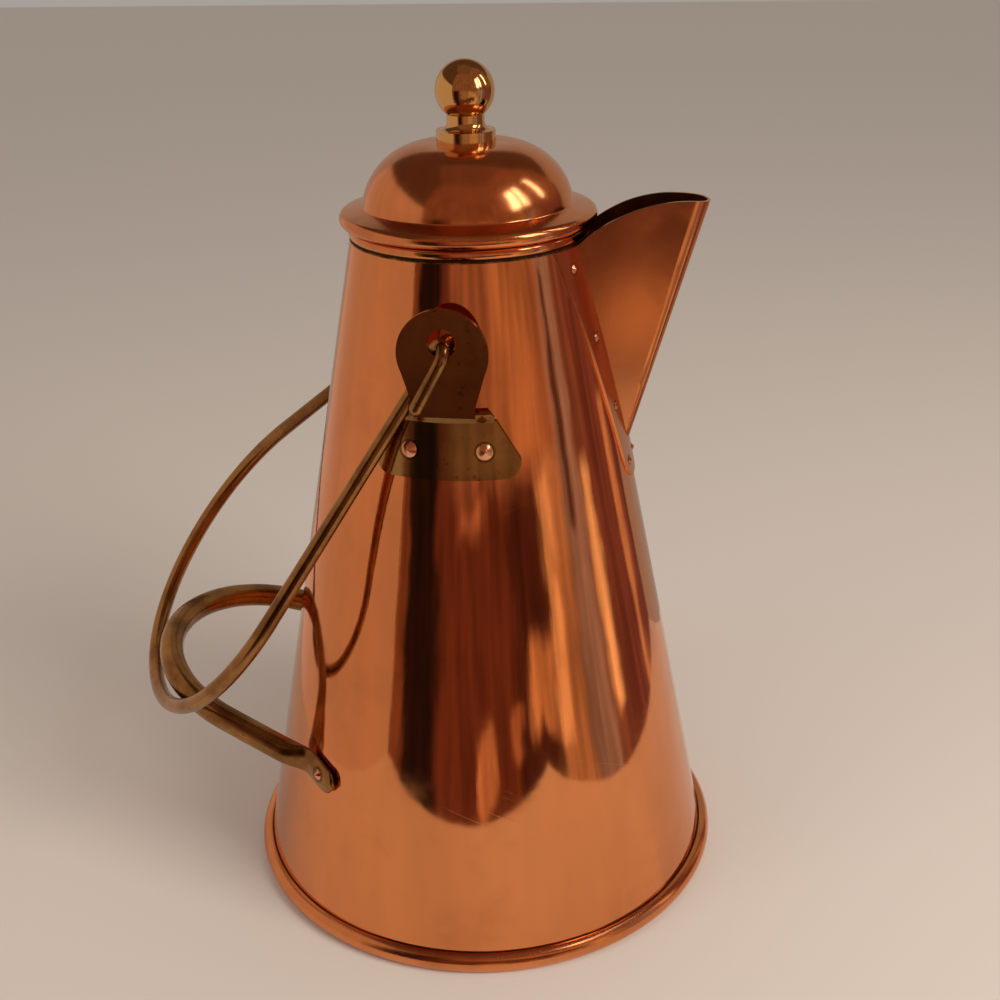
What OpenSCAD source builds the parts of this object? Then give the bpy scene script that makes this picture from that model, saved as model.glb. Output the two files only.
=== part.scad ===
// Conical copper coffee pot with a folded beak spout, a loose domed lid,
// a swinging brass bail and a fixed tipping handle.
// Z = 0 is the table, the pot's axis is Z and the spout points along +X.

/* [Body] */
// Outside radius of the cone, carried down to the table
body_base_r = 87.2; // [82:0.1:92]
// Outside radius of the cone at its top edge
body_top_r = 40; // [38:0.1:43]
// Height of the cone's top edge above the table
body_top_z = 241.3; // [232:0.1:250]
// Thickness of the copper sheet of the body
body_wall = 1; // [0.7:0.1:1.6]

/* [Base] */
// Radius of the rolled bead around the base
base_bead_r = 3.6; // [3.2:0.1:4.4]
// Height to which the sheet's edge is lifted inside the bead
base_lip = 1.4; // [1.2:0.1:1.8]
// Radius of the iron wire rolled into the base bead
base_wire_r = 0.9; // [0.5:0.1:1]
// Height of the floor above the table
floor_z = 2.6; // [2.2:0.1:6]
// Thickness of the floor sheet
floor_wall = 1.2; // [0.8:0.1:2]
// Height of the floor's upturned flange
floor_flange_h = 7; // [4:0.5:12]

/* [Mouth] */
// Radius of the rolled bead around the mouth
mouth_bead_r = 2.1; // [1.6:0.1:2.4]
// How far the mouth bead stands out from the body's top edge
mouth_bead_out = 0.4; // [0:0.1:0.8]
// Thickness of the mouth's inner neck
neck_wall = 1.6; // [1:0.1:2]
// How far the neck rises above the mouth bead
neck_rise = 3; // [2:0.1:5]
// How far the bead's seat reaches over the body's top edge
mouth_seat = 0.5; // [0.4:0.05:0.8]
// How far the neck reaches down inside the body
neck_drop = 3.8; // [2:0.1:6]

/* [Lid] */
// How far the dome's foot stands in from the body's top edge
dome_in = 4.5; // [4:0.1:7]
// Radius of the dome's rounded shoulder
dome_shoulder_r = 23; // [20:0.1:26]
// How far the shoulder's centre lies below the brim's sheet
dome_sink = 1; // [0:0.1:2]
// How far the brim stands out past the body's top edge
brim_over = 3.1; // [2:0.1:6]
// How far the brim's slope climbs to the dome's foot
brim_climb = 2.3; // [1:0.1:3.5]
// Radius of the soft corner between the brim and the dome
brim_corner_r = 0.8; // [0.4:0.1:1.5]
// Radius of the rolled edge of the brim
brim_roll_r = 2.3; // [1.8:0.1:2.6]
// Radius of the wire inside the rolled edge
brim_wire_r = 1.1; // [0.6:0.1:1.2]
// Thickness of the lid's sheet
lid_wall = 0.9; // [0.6:0.1:1.1]
// Thickness of the ring that goes down into the mouth
skirt_wall = 0.8; // [0.6:0.1:1.2]
// How far the ring reaches down below the brim
skirt_drop = 11; // [8:0.5:13]
// Gap between the ring and the mouth, on the radius
skirt_gap = 0.3; // [0.2:0.05:0.6]

/* [Knob] */
// Radius of the knob's ball
knob_ball_r = 9.75; // [8:0.05:11]
// Radius of the knob's narrow neck
knob_neck_r = 6.2; // [5:0.1:6.4]
// Radius of the knob's foot disc
knob_foot_r = 9.8; // [9:0.1:10.4]
// Height of the foot disc's straight edge
knob_foot_h = 3.9; // [2.5:0.1:4.5]
// Radius of the hollow curve between the foot and the neck
knob_cove_r = 2.6; // [2:0.1:3.4]
// Height of the ball's top above the lid
knob_h = 26; // [24:0.1:28]
// Radius of the knob's screw
knob_screw_r = 2; // [1.5:0.1:2.5]
// How far the screw goes up into the knob
knob_screw_in = 12; // [8:0.5:16]
// Radius of the screw's head
knob_screw_head_r = 4; // [3.2:0.1:5]
// Height of the screw's head
knob_screw_head_h = 2.2; // [1.5:0.1:3]
// Radius of the washer under the screw's head
washer_r = 7; // [6:0.1:8.5]
// Thickness of the washer
washer_t = 1; // [0.6:0.1:1.6]
// Clearance around the screw, on the radius
screw_gap = 0.05; // [0.03:0.01:0.1]

/* [Spout] */
// Height at which the keel leaves the body
spout_foot_z = 167.6; // [164:0.1:172]
// How far the tip stands out past the body's top edge
spout_reach = 38.7; // [34:0.1:44]
// Height of the keel at the tip
spout_tip_z = 249.2; // [246:0.1:252]
// Radius of the rounded keel at the tip
keel_tip_r = 6.3; // [5:0.1:7.5]
// Radius of the rounded keel at its foot
keel_foot_r = 2.8; // [2.2:0.1:3.4]
// Half width of the spout where it meets the body's top edge
spout_mouth_half = 15.7; // [14:0.1:17]
// Thickness of the spout's sheet
spout_wall = 1; // [0.8:0.1:1.3]
// Height of the lip at its highest point
lip_peak_z = 254.1; // [251:0.1:257]
// How far the lip's highest point lies behind the tip
lip_back = 7.7; // [5:0.1:10]
// Radius of the lip's curve
lip_bow_r = 48.2; // [46:0.1:56]
// Thickness of the flange on the body
flange_wall = 0.9; // [0.6:0.1:1.2]
// Width of the flange outside the fold
flange_w = 9.6; // [8.5:0.1:11]
// How far the flange reaches below the keel's foot
flange_tail = 10.5; // [9:0.5:14]
// Radius of the rivet heads on the spout
spout_rivet_head_r = 1.75; // [1.4:0.05:2.2]
// Radius of the rivet shanks on the spout
spout_rivet_r = 1; // [0.7:0.05:1.2]
// Distance of the highest spout rivets below the body's top edge
spout_rivet_drop = 6.9; // [5:0.1:9]
// Distance of the lowest spout rivets below the keel's foot
spout_rivet_low = 4.3; // [3.5:0.1:6]
// Radius of the strainer's holes
strainer_hole_r = 1.8; // [1.2:0.1:2.2]
// Distance between the strainer's holes
strainer_pitch = 5.6; // [5:0.1:6]
// Number of rows of strainer holes
strainer_rows = 5; // [3:1:5]

/* [Ears] */
// Height of the middle of the ear's disc
ear_disc_z = 215.7; // [212:0.1:219]
// How far the middle of the disc stands off the body at the top of the foot
ear_stand = 3.01; // [2.8:0.01:4]
// Thickness of the ear's plate
ear_plate = 1.5; // [1.2:0.1:1.6]
// Radius of the ear's disc
ear_disc_r = 14.6; // [13:0.1:16]
// Radius of the hole for the bail
ear_hole_r = 4.6; // [4.2:0.1:5.2]
// How far the hole's centre is above the rod that hangs in it
ear_hole_up = 1.2; // [0.8:0.1:1.5]
// Half width of the neck between the disc and the foot
ear_neck_half = 9.9; // [8:0.1:11]
// Height of the bottom of the ear's foot
ear_foot_z = 174; // [171:0.1:176]
// Height of the ear's foot
ear_foot_h = 18.8; // [17:0.1:20]
// Height of the step between the foot and the disc
ear_step_h = 3.1; // [2.5:0.1:4]
// Half width of the foot at its widest
ear_foot_half = 23.6; // [21:0.1:26]
// Half width of the foot at its top
ear_foot_top_half = 15.8; // [14:0.1:17.5]
// Radius of the foot's lower corners
ear_corner_r = 4.4; // [3:0.1:5.5]
// Radius of the rivet heads on the ears
ear_rivet_head_r = 3.1; // [2.4:0.1:3.6]
// Radius of the rivet shanks on the ears
ear_rivet_r = 1.9; // [1.4:0.1:2.1]
// Angle of each ear rivet from the middle of the ear, in degrees
ear_rivet_turn = 13.5; // [11:0.1:15]

/* [Bail] */
// Height of the rod in the hooks above the table: the bail swings about it
pivot_z = 218.2; // [216:0.1:220]
// Radius of the rod at the hooks
bail_hook_rod_r = 2.2; // [1.8:0.05:2.3]
// Radius of the rod where the arms leave the ears
bail_arm_rod_r = 2.35; // [1.9:0.05:2.45]
// Radius of the rod around the grip
bail_grip_rod_r = 2.8; // [2.4:0.05:3]
// Radius of the hook's bend, to the middle of the rod
bail_hook_bend_r = 3.8; // [3.75:0.05:4]
// Angle by which the hook's tail stands forward of its arm, in degrees
bail_hook_turn = 27; // [15:1:28]
// Angle by which the hook hangs steeper than its arm, in degrees
bail_hook_drop = 4.5; // [2:0.5:6]
// Length of the hook's straight tail
bail_tail = 17.4; // [12:0.1:22]
// Length of the straight neck that passes behind the ear's disc
bail_neck = 16; // [14:0.5:20]
// Angle of the -Y arm below the horizontal at rest, in degrees
bail_dip_right = 57.5; // [50:0.1:57.8]
// Angle of the +Y arm below the horizontal at rest, in degrees
bail_dip_left = 39.6; // [36:0.1:46]
// Distance from the pivot to the end of the -Y arm's straight part
bail_arm_right = 109.5; // [106:0.1:114]
// Distance from the pivot to the end of the +Y arm's straight part
bail_arm_left = 119.6; // [116:0.1:124]
// How far that end of the -Y arm stands out past the ear's disc
bail_spread_right = 15.6; // [13.5:0.1:18.5]
// How far that end of the +Y arm stands out past the ear's disc
bail_spread_left = 9.6; // [7.5:0.1:12.5]

/* [Tipping handle] */
// Height at which the handle's legs start
handle_z = 58; // [52:0.1:66]
// How far inside the body's surface the handle's legs are measured from
handle_in = 23.85; // [22:0.05:26]
// Angle of each handle rivet from the back of the pot, in degrees
handle_turn = 50.4; // [49:0.1:52]
// Angle at which the handle rises outwards, in degrees
handle_rise = 19; // [15:0.1:21]
// Radius of the handle's rod
handle_rod_r = 4.5; // [3.8:0.1:5]
// Radius of the handle's round end, to the middle of the rod
handle_loop_r = 47; // [44:0.1:48]
// Distance of the round end's centre from the rivets, along the handle
handle_loop_u = 26.8; // [25:0.1:31]
// Half the distance between the legs at the rivets
handle_leg_half = 54.5; // [53:0.1:56]
// Distance along the handle over which the leg is flattened
handle_leg_start = 13; // [12:0.1:16]
// Thickness of the flattened paddle
paddle_t = 2.8; // [2:0.1:3.4]
// Half width of the paddle
paddle_half = 4.9; // [4.2:0.1:5.6]
// How far the paddle reaches past its rivet
paddle_end = 8; // [7:0.1:11]
// How far the flat of the paddle reaches past its rivet towards the rod
paddle_back = 7.4; // [6.5:0.1:8]
// Radius of the rivet heads on the handle
handle_rivet_head_r = 2.7; // [2.2:0.1:3.4]
// Radius of the rivet shanks on the handle
handle_rivet_r = 1.6; // [1.2:0.1:2]

/* [Fits] */
// Clearance around each rivet shank, on the radius
rivet_gap = 0.05; // [0.03:0.01:0.1]
// Height of a rivet head as a share of its radius
rivet_dome = 0.5; // [0.35:0.05:0.7]
// Gap between the spout's cut edges and the body
seam_gap = 0.05; // [0.03:0.01:0.1]
// Gap between the bail's arms and the ears' steps
bail_ear_gap = 0.4; // [0.3:0.05:0.8]

/* [Hidden] */
$fn = 96;

COPPER = "#c46a3c";
OLD_COPPER = "#a4502c";
BRASS = "#b8923f";
OLD_BRASS = "#7d6430";
IRON = "#6d6a66";

// ---- the cone ----------------------------------------------------------
taper = atan((body_base_r - body_top_r) / body_top_z);
function cone_r(z) = body_base_r - (body_base_r - body_top_r) * z / body_top_z;
// a thickness square to the sheet, measured level
function level(t) = t / cos(taper);

function unit(v) = v / norm(v);

// ---- the base ----------------------------------------------------------
bead_c_z = base_bead_r - 0.15;
bead_c_r = cone_r(bead_c_z) - 0.2;

// ---- the mouth ---------------------------------------------------------
mouth_bead_c_r = body_top_r + mouth_bead_out - mouth_bead_r;
mouth_bead_c_z = body_top_z + mouth_bead_r;
body_mouth_r = body_top_r - level(body_wall);
neck_out_r = body_mouth_r - 0.9;
neck_in_r = neck_out_r - neck_wall;
seat_z = mouth_bead_c_z + mouth_bead_r + neck_rise;

// ---- the lid -----------------------------------------------------------
brim_top_z = seat_z + lid_wall;
brim_r = body_top_r + brim_over;
roll_c_r = brim_r - brim_roll_r;
roll_c_z = brim_top_z - brim_roll_r + 0.8;
dome_r = body_top_r - dome_in;
shoulder_c_r = dome_r - dome_shoulder_r;
shoulder_c_z = brim_top_z - dome_sink;
lid_top_z = shoulder_c_z + dome_shoulder_r;
// the brim's slope leaves the dome here and ends on top of the rolled edge
slope_in = [dome_r - 0.2, brim_top_z + brim_climb];
slope_out = [roll_c_r + brim_roll_r * sin(18), roll_c_z + brim_roll_r * cos(18)];
slope_dir = unit(slope_out - slope_in);
slope_normal = [-slope_dir.y, slope_dir.x];
// centre of the soft corner: its radius above the slope and outside the dome's shoulder
corner_from = slope_in + brim_corner_r * slope_normal - [shoulder_c_r, shoulder_c_z];
corner_half = corner_from * slope_dir;
corner_t = -corner_half + sqrt(corner_half * corner_half
    - corner_from * corner_from + pow(dome_shoulder_r + brim_corner_r, 2));
corner_c = slope_in + brim_corner_r * slope_normal + corner_t * slope_dir;
corner_dome = unit([shoulder_c_r, shoulder_c_z] - corner_c);
skirt_out_r = neck_in_r - skirt_gap;
screw_hole_r = knob_screw_r + screw_gap;
ball_c_z = lid_top_z + knob_h - knob_ball_r;

// ---- the spout ---------------------------------------------------------
// The keel is the front line of a slender cone, and the flat side walls
// touch that cone. All three close up at the apex, low inside the body.
NOSE_PROUD = 0.005;
keel_foot = [cone_r(spout_foot_z), 0, spout_foot_z];
keel_tip = [body_top_r + spout_reach, 0, spout_tip_z];
lip_peak_x = keel_tip.x - lip_back;
keel_dir = unit(keel_tip - keel_foot);
nose_len = norm(keel_tip - keel_foot) * keel_tip_r / (keel_tip_r - keel_foot_r);
spout_apex = keel_tip - nose_len * keel_dir;
nose_angle = atan(keel_tip_r / nose_len);
nose_lean = atan2(keel_dir.x, keel_dir.z) - nose_angle;
nose_axis = [sin(nose_lean), 0, cos(nose_lean)];
fold_top = [sqrt(pow(body_top_r, 2) - pow(spout_mouth_half, 2)), spout_mouth_half, body_top_z];
fold_dir = unit(fold_top - spout_apex);
fold_side = unit(nose_axis - (nose_axis * fold_dir) * fold_dir);
fold_share = sin(nose_angle) / (nose_axis * fold_side);
// the +Y side wall faces along wall_n, and touches the nose along wall_line
wall_n = sqrt(1 - pow(fold_share, 2)) * cross(fold_dir, fold_side) - fold_share * fold_side;
wall_e = unit(wall_n + sin(nose_angle) * nose_axis);
wall_line = cos(nose_angle) * nose_axis + sin(nose_angle) * wall_e;
front_n = unit([wall_line.z, 0, -wall_line.x]);
// half width of the spout on the body at height z
function wall_w(z) = (wall_n.x * spout_apex.x - wall_n.z * (z - spout_apex.z)) / wall_n.y;
function fold_x(z) = let (k = wall_n.x / wall_n.y, w = wall_w(z), c = cone_r(z))
    (k * w + sqrt(pow(k * w, 2) - (1 + k * k) * (w * w - c * c))) / (1 + k * k);
function fold_y(z) = wall_w(z) - wall_n.x / wall_n.y * fold_x(z);
RIVET_SHARES = [0, 0.3, 0.66, 1];
spout_rivet_top_z = body_top_z - spout_rivet_drop;
spout_rivet_low_z = spout_foot_z - spout_rivet_low;
SPOUT_RIVETS = [for (side = [-1, 1], share = RIVET_SHARES)
    let (z = spout_rivet_low_z + (spout_rivet_top_z - spout_rivet_low_z) * share)
    [z, side * asin((fold_y(z) + 0.48 * flange_w) / cone_r(z))]];

// ---- the ears and the bail ---------------------------------------------
foot_top_z = ear_foot_z + ear_foot_h;
ear_rivet_z = ear_foot_z + 0.47 * ear_foot_h;
ear_plane_y = cone_r(foot_top_z) + ear_stand;
// way down an arm in the upright plane: dip is its angle below the horizontal
function down(dip) = [-cos(dip), 0, -sin(dip)];
// centre of the hook's bend, and the way across it from the arm to the tail
function hook_at(side, dip) = [0, side * ear_plane_y, pivot_z] + bail_hook_bend_r * down(dip);
function hook_across(side, dip) = [0, side * cos(bail_hook_turn), 0]
    + sin(bail_hook_turn) * [sin(dip), 0, -cos(dip)];
function neck_at(side, dip, run) =
    hook_at(side, dip) - bail_hook_bend_r * hook_across(side, dip) + run * down(dip);
hook_dip_right = bail_dip_right + bail_hook_drop;
hook_dip_left = bail_dip_left + bail_hook_drop;
function arm_end(side, dip, reach, wide) = [0, side * wide, pivot_z] + reach * down(dip);
neck_end_right = neck_at(-1, hook_dip_right, bail_neck);
neck_end_left = neck_at(1, hook_dip_left, bail_neck);
arm_end_right = arm_end(-1, bail_dip_right, bail_arm_right, ear_plane_y + bail_spread_right);
arm_end_left = arm_end(1, bail_dip_left, bail_arm_left, ear_plane_y + bail_spread_left);
arm_dir_right = unit(arm_end_right - neck_end_right);
arm_dir_left = unit(arm_end_left - neck_end_left);
// two arcs that run on from both arms meet at the grip's middle
function arc_reach(p, t, q, u) = let (v = q - p, s = t + u, a = 2 * (1 - t * u), b = 2 * (v * s))
    (-b + sqrt(b * b + 4 * a * (v * v))) / (2 * a);
grip_reach = arc_reach(arm_end_right, arm_dir_right, arm_end_left, -arm_dir_left);
grip_mid = (arm_end_right + arm_end_left + grip_reach * (arm_dir_right + arm_dir_left)) / 2;

// ---- the tipping handle ------------------------------------------------
handle_back = cone_r(handle_z) - handle_in;
handle_rivet_z = handle_z + 0.8;
leg_len = norm([handle_loop_u, handle_leg_half]);
// angle at which the legs run into the round end
loop_half_turn = atan2(handle_leg_half, -handle_loop_u) - acos(handle_loop_r / leg_len);
leg_end = [handle_loop_u + handle_loop_r * cos(loop_half_turn), handle_loop_r * sin(loop_half_turn)];
leg_dir = unit(leg_end - [0, handle_leg_half]);
// slope of the paddle on the body, square to the sheet's normal
leg_world = [-leg_dir.x * cos(handle_rise), leg_dir.y, leg_dir.x * sin(handle_rise)];
paddle_round = [-sin(handle_turn), -cos(handle_turn), 0];
paddle_up = [cos(handle_turn) * sin(taper), -sin(handle_turn) * sin(taper), cos(taper)];
paddle_normal = [-cos(handle_turn) * cos(taper), sin(handle_turn) * cos(taper), sin(taper)];
paddle_slope = atan2(leg_world * paddle_up, leg_world * paddle_round);
// where the +Y leg's round rod stops, and where its flattening meets the paddle
leg_foot = [-handle_back, handle_leg_half, handle_z] + handle_leg_start * leg_world;
paddle_neck = [-cone_r(handle_rivet_z) * cos(handle_turn), cone_r(handle_rivet_z) * sin(handle_turn),
    handle_rivet_z] + paddle_t / 2 * paddle_normal
    + paddle_back * (cos(paddle_slope) * paddle_round + sin(paddle_slope) * paddle_up);

// ---- shared shapes -----------------------------------------------------
// A frame at o whose x and z axes are given; x is square to z
module frame_at(o, x, z) {
    y = cross(z, x);
    multmatrix([[x.x, y.x, z.x, o.x], [x.y, y.y, z.y, o.y], [x.z, y.z, z.z, o.z], [0, 0, 0, 1]])
        children();
}

// Rods that run on into each other differ by this much on the radius
ROD_STEP = 0.02;

// A straight rod from p to q
module rod(p, q, r1, r2) {
    z = unit(q - p);
    frame_at(p, unit(cross(abs(z.z) < 0.9 ? [0, 0, 1] : [0, 1, 0], z)), z)
        cylinder(h = norm(q - p), r1 = r1, r2 = r2);
}

// A bent rod that leaves p along t and ends at q, or runs past it by lap degrees
module bent_rod(p, t, q, r, lap) {
    d = q - p;
    n = unit(cross(t, d));
    s = cross(n, t);
    bend_r = (d * d) / (2 * (d * s));
    c = p + bend_r * s;
    turn = atan2((q - c) * t, -((q - c) * s));
    frame_at(c, -s, n)
        rotate_extrude(angle = (turn < 0 ? turn + 360 : turn) + lap)
            translate([bend_r, 0])
                circle(r);
}

// The solid inside the body's outer surface, grown by g
module cone_solid(g, z0, z1) {
    rotate_extrude()
        polygon([[0, z0], [cone_r(z0) + level(g), z0], [cone_r(z1) + level(g), z1], [0, z1]]);
}

// Sheet of thickness t that lies on the cone, from angle a, over turn degrees
module cone_sheet(t, z0, z1, a, turn) {
    rotate([0, 0, a])
        rotate_extrude(angle = turn)
            polygon([[cone_r(z0), z0], [cone_r(z0) + level(t), z0],
                [cone_r(z1) + level(t), z1], [cone_r(z1), z1]]);
}

// A frame on the cone at height z and angle a: +X runs round the body, +Y up
// it and +Z is square to the sheet
module on_cone(z, a) {
    rotate([0, 0, a])
        translate([cone_r(z), 0, z])
            rotate([0, 90 - taper, 0])
                rotate([0, 0, 90])
                    children();
}

// A domed rivet head that stands on z = 0
module rivet_head(r) {
    h = r * rivet_dome;
    ball_r = (r * r + h * h) / (2 * h);
    intersection() {
        translate([0, 0, h - ball_r])
            sphere(ball_r);
        cylinder(h = h + 1, r = r + 1);
    }
}

// A rivet through the body's sheet and a plate of thickness plate on it.
// near_r is the cone's radius there, so that the inner head clears its curve.
module rivet(head_r, shank_r, plate, near_r) {
    clear = head_r * head_r / (2 * near_r) * 1.1;
    translate([0, 0, plate])
        rivet_head(head_r);
    translate([0, 0, -body_wall - clear])
        cylinder(h = plate + body_wall + clear + 0.1, r = shank_r);
    translate([0, 0, -body_wall - clear])
        mirror([0, 0, 1])
            rivet_head(head_r);
}

module rivet_hole(shank_r) {
    translate([0, 0, -10])
        cylinder(h = 20, r = shank_r + rivet_gap);
}

module at_spout_rivets() {
    for (p = SPOUT_RIVETS)
        on_cone(p[0], p[1])
            children();
}

module at_ear_rivets(side) {
    for (turn = [-ear_rivet_turn, ear_rivet_turn])
        on_cone(ear_rivet_z, side * 90 + turn)
            children();
}

module at_handle_rivets() {
    for (side = [-1, 1])
        on_cone(handle_rivet_z, 180 - side * handle_turn)
            children();
}

module strainer_holes() {
    for (row = [0 : strainer_rows - 1])
        for (i = [0 : strainer_rows - 1 - row]) {
            z = body_top_z - 9.3 - row * strainer_pitch * 0.95;
            y = (i - (strainer_rows - 1 - row) / 2) * strainer_pitch;
            on_cone(z, asin(y / cone_r(z)))
                translate([0, 0, -5])
                    cylinder(h = 10, r = strainer_hole_r);
        }
}

// ---- the pieces --------------------------------------------------------
module body_shell() {
    color(COPPER)
        difference() {
            rotate_extrude()
                polygon([
                    [cone_r(base_lip), base_lip],
                    [body_top_r, body_top_z],
                    [body_mouth_r, body_top_z],
                    [cone_r(base_lip) - level(body_wall), base_lip]
                ]);
            at_spout_rivets() rivet_hole(spout_rivet_r);
            at_ear_rivets(-1) rivet_hole(ear_rivet_r);
            at_ear_rivets(1) rivet_hole(ear_rivet_r);
            at_handle_rivets() rivet_hole(handle_rivet_r);
            strainer_holes();
        }
}

module base_plate() {
    flange_top = floor_z + floor_flange_h;
    in_r = cone_r(floor_z) - level(body_wall);
    top_r = cone_r(flange_top) - level(body_wall);
    color(OLD_COPPER)
        rotate_extrude()
            polygon([
                [0, floor_z], [in_r, floor_z], [top_r, flange_top],
                [top_r - floor_wall, flange_top],
                [in_r - floor_wall - 0.2, floor_z + floor_wall], [0, floor_z + floor_wall]
            ]);
}

module base_rim() {
    color(COPPER)
        rotate_extrude()
            difference() {
                translate([bead_c_r, bead_c_z])
                    circle(base_bead_r);
                translate([bead_c_r, -base_bead_r])
                    square([4 * base_bead_r, 2 * base_bead_r], center = true);
                polygon([
                    [0, base_lip], [cone_r(base_lip), base_lip],
                    [cone_r(12), 12], [0, 12]
                ]);
                translate([bead_c_r + base_bead_r - 2 * base_wire_r, bead_c_z])
                    circle(base_wire_r);
            }
}

module base_wire() {
    color(IRON)
        rotate_extrude()
            translate([bead_c_r + base_bead_r - 2 * base_wire_r, bead_c_z])
                circle(base_wire_r);
}

module mouth_ring() {
    color(COPPER)
        rotate_extrude()
            union() {
                translate([mouth_bead_c_r, mouth_bead_c_z])
                    circle(mouth_bead_r);
                translate([neck_in_r, body_top_z - neck_drop])
                    square([neck_wall, seat_z - body_top_z + neck_drop]);
                // flat seat on the body's top edge
                translate([neck_out_r - 0.5, body_top_z])
                    square([body_mouth_r + mouth_seat - neck_out_r + 0.5, mouth_bead_r]);
            }
}

// A half-space behind the plane through o that faces along n; x lies in it
module behind(o, x, n) {
    frame_at(o, x, n)
        translate([-200, -200, -200])
            cube([400, 400, 200]);
}

// The spout as a solid, moved in by inset on every side
module spout_solid(inset, top) {
    apex = spout_apex + inset / sin(nose_angle) * nose_axis;
    start = (spout_foot_z - 9 - apex.z) / cos(nose_lean);
    end = (top - apex.z) / cos(nose_lean);
    union() {
        intersection() {
            translate([fold_top.x - 9, -40, spout_foot_z - 5])
                cube([80, 80, top - spout_foot_z + 3]);
            behind(apex - NOSE_PROUD * wall_n, fold_dir, wall_n);
            mirror([0, 1, 0])
                behind(apex - NOSE_PROUD * wall_n, fold_dir, wall_n);
            behind(apex, [0, 1, 0], front_n);
        }
        frame_at(apex, [cos(nose_lean), 0, -sin(nose_lean)], nose_axis)
            translate([0, 0, start])
                cylinder(h = end - start, r1 = start * tan(nose_angle), r2 = end * tan(nose_angle));
    }
}

module spout_beak() {
    difference() {
        intersection() {
            spout_solid(0, lip_peak_z + 6);
            translate([lip_peak_x, 0, lip_peak_z - lip_bow_r])
                rotate([90, 0, 0])
                    cylinder(h = 100, r = lip_bow_r, center = true);
        }
        cone_solid(seam_gap, spout_foot_z - 20, body_top_z);
        translate([0, 0, body_top_z - 0.01])
            cylinder(h = 20, r = mouth_bead_c_r + mouth_bead_r + seam_gap);
    }
}

module spout_flange() {
    tail_z = spout_foot_z - flange_tail;
    top_z = body_top_z - 0.2;
    knee_z = spout_foot_z - 3;
    knee_y = fold_y(knee_z) + flange_w;
    top_y = fold_y(top_z) + flange_w;
    intersection() {
        cone_sheet(flange_wall, tail_z - 1, top_z, -60, 120);
        rotate([90, 0, 90])
            linear_extrude(body_base_r)
                polygon([
                    [-top_y, top_z], [-knee_y, knee_z], [-knee_y * 0.86, knee_z - 4.2],
                    [-knee_y * 0.48, tail_z], [knee_y * 0.48, tail_z],
                    [knee_y * 0.86, knee_z - 4.2], [knee_y, knee_z], [top_y, top_z]
                ]);
    }
}

module spout() {
    color(COPPER)
        difference() {
            union() {
                spout_beak();
                spout_flange();
            }
            spout_solid(spout_wall, lip_peak_z + 12);
            at_spout_rivets() rivet_hole(spout_rivet_r);
        }
}

module spout_rivets() {
    color(COPPER)
        for (p = SPOUT_RIVETS)
            on_cone(p[0], p[1])
                rivet(spout_rivet_head_r, spout_rivet_r, flange_wall, cone_r(p[0]));
}

// Outline of the ear's foot, seen square to the body
module ear_foot_outline() {
    corner = [ear_foot_half - ear_corner_r, ear_foot_z + ear_corner_r];
    top = [ear_foot_top_half, foot_top_z];
    // the flank touches the rounded corner here
    turn = atan2(top.y - corner.y, top.x - corner.x) - acos(ear_corner_r / norm(top - corner));
    touch = corner + ear_corner_r * [cos(turn), sin(turn)];
    union() {
        polygon([
            [-top.x, top.y], [-touch.x, touch.y], [-corner.x, corner.y], [-corner.x, ear_foot_z],
            [corner.x, ear_foot_z], [corner.x, corner.y], touch, top
        ]);
        for (x = [-corner.x, corner.x])
            translate([x, corner.y])
                circle(ear_corner_r);
    }
}

// Outline of the ear's upright disc, its shoulders and its neck
module ear_disc_outline() {
    shoulder_drop = 0.4 * ear_disc_r;
    shoulder_x = sqrt(pow(ear_disc_r, 2) - pow(shoulder_drop, 2));
    neck_top_z = foot_top_z + ear_step_h + 2.4;
    union() {
        translate([0, ear_disc_z])
            circle(ear_disc_r);
        polygon([
            [-shoulder_x, ear_disc_z - shoulder_drop], [-ear_neck_half, neck_top_z],
            [-ear_neck_half, foot_top_z + ear_step_h * 0.7],
            [ear_neck_half, foot_top_z + ear_step_h * 0.7],
            [ear_neck_half, neck_top_z], [shoulder_x, ear_disc_z - shoulder_drop]
        ]);
    }
}

// The ear on the -Y side; the other one is its mirror image
module ear() {
    out_y = ear_plane_y + ear_plate / 2;
    in_y = ear_plane_y - ear_plate / 2;
    step_y = cone_r(foot_top_z);
    step_turn = asin(ear_foot_top_half / out_y);
    step_top_z = foot_top_z + ear_step_h + 0.8;
    difference() {
        union() {
            // foot, curved to the body
            intersection() {
                cone_sheet(ear_plate, ear_foot_z, foot_top_z, -130, 80);
                rotate([90, 0, 0])
                    linear_extrude(body_base_r)
                        ear_foot_outline();
            }
            // step out from the foot to the disc, with its ends cut back
            intersection() {
                rotate([0, 0, -90 - step_turn])
                    rotate_extrude(angle = 2 * step_turn)
                        polygon([
                            [step_y, foot_top_z - 2.4], [step_y + ear_plate, foot_top_z - 0.6],
                            [out_y, foot_top_z + ear_step_h], [out_y, step_top_z],
                            [in_y, step_top_z], [in_y, step_top_z - 1.6]
                        ]);
                rotate([90, 0, 0])
                    linear_extrude(body_base_r)
                        polygon([
                            [-ear_foot_top_half - 1, foot_top_z - 5],
                            [-ear_foot_top_half - 1, foot_top_z + 0.4],
                            [-ear_foot_top_half + 2, step_top_z + 0.1],
                            [ear_foot_top_half - 2, step_top_z + 0.1],
                            [ear_foot_top_half + 1, foot_top_z + 0.4],
                            [ear_foot_top_half + 1, foot_top_z - 5]
                        ]);
            }
            // upright disc and its neck
            translate([0, -in_y, 0])
                rotate([90, 0, 0])
                    linear_extrude(ear_plate)
                        ear_disc_outline();
        }
        cone_solid(0, ear_foot_z - 5, body_top_z);
        translate([0, 0, pivot_z + ear_hole_up])
            rotate([90, 0, 0])
                cylinder(h = 2 * ear_plane_y, r = ear_hole_r);
        at_ear_rivets(-1) rivet_hole(ear_rivet_r);
    }
}

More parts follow.
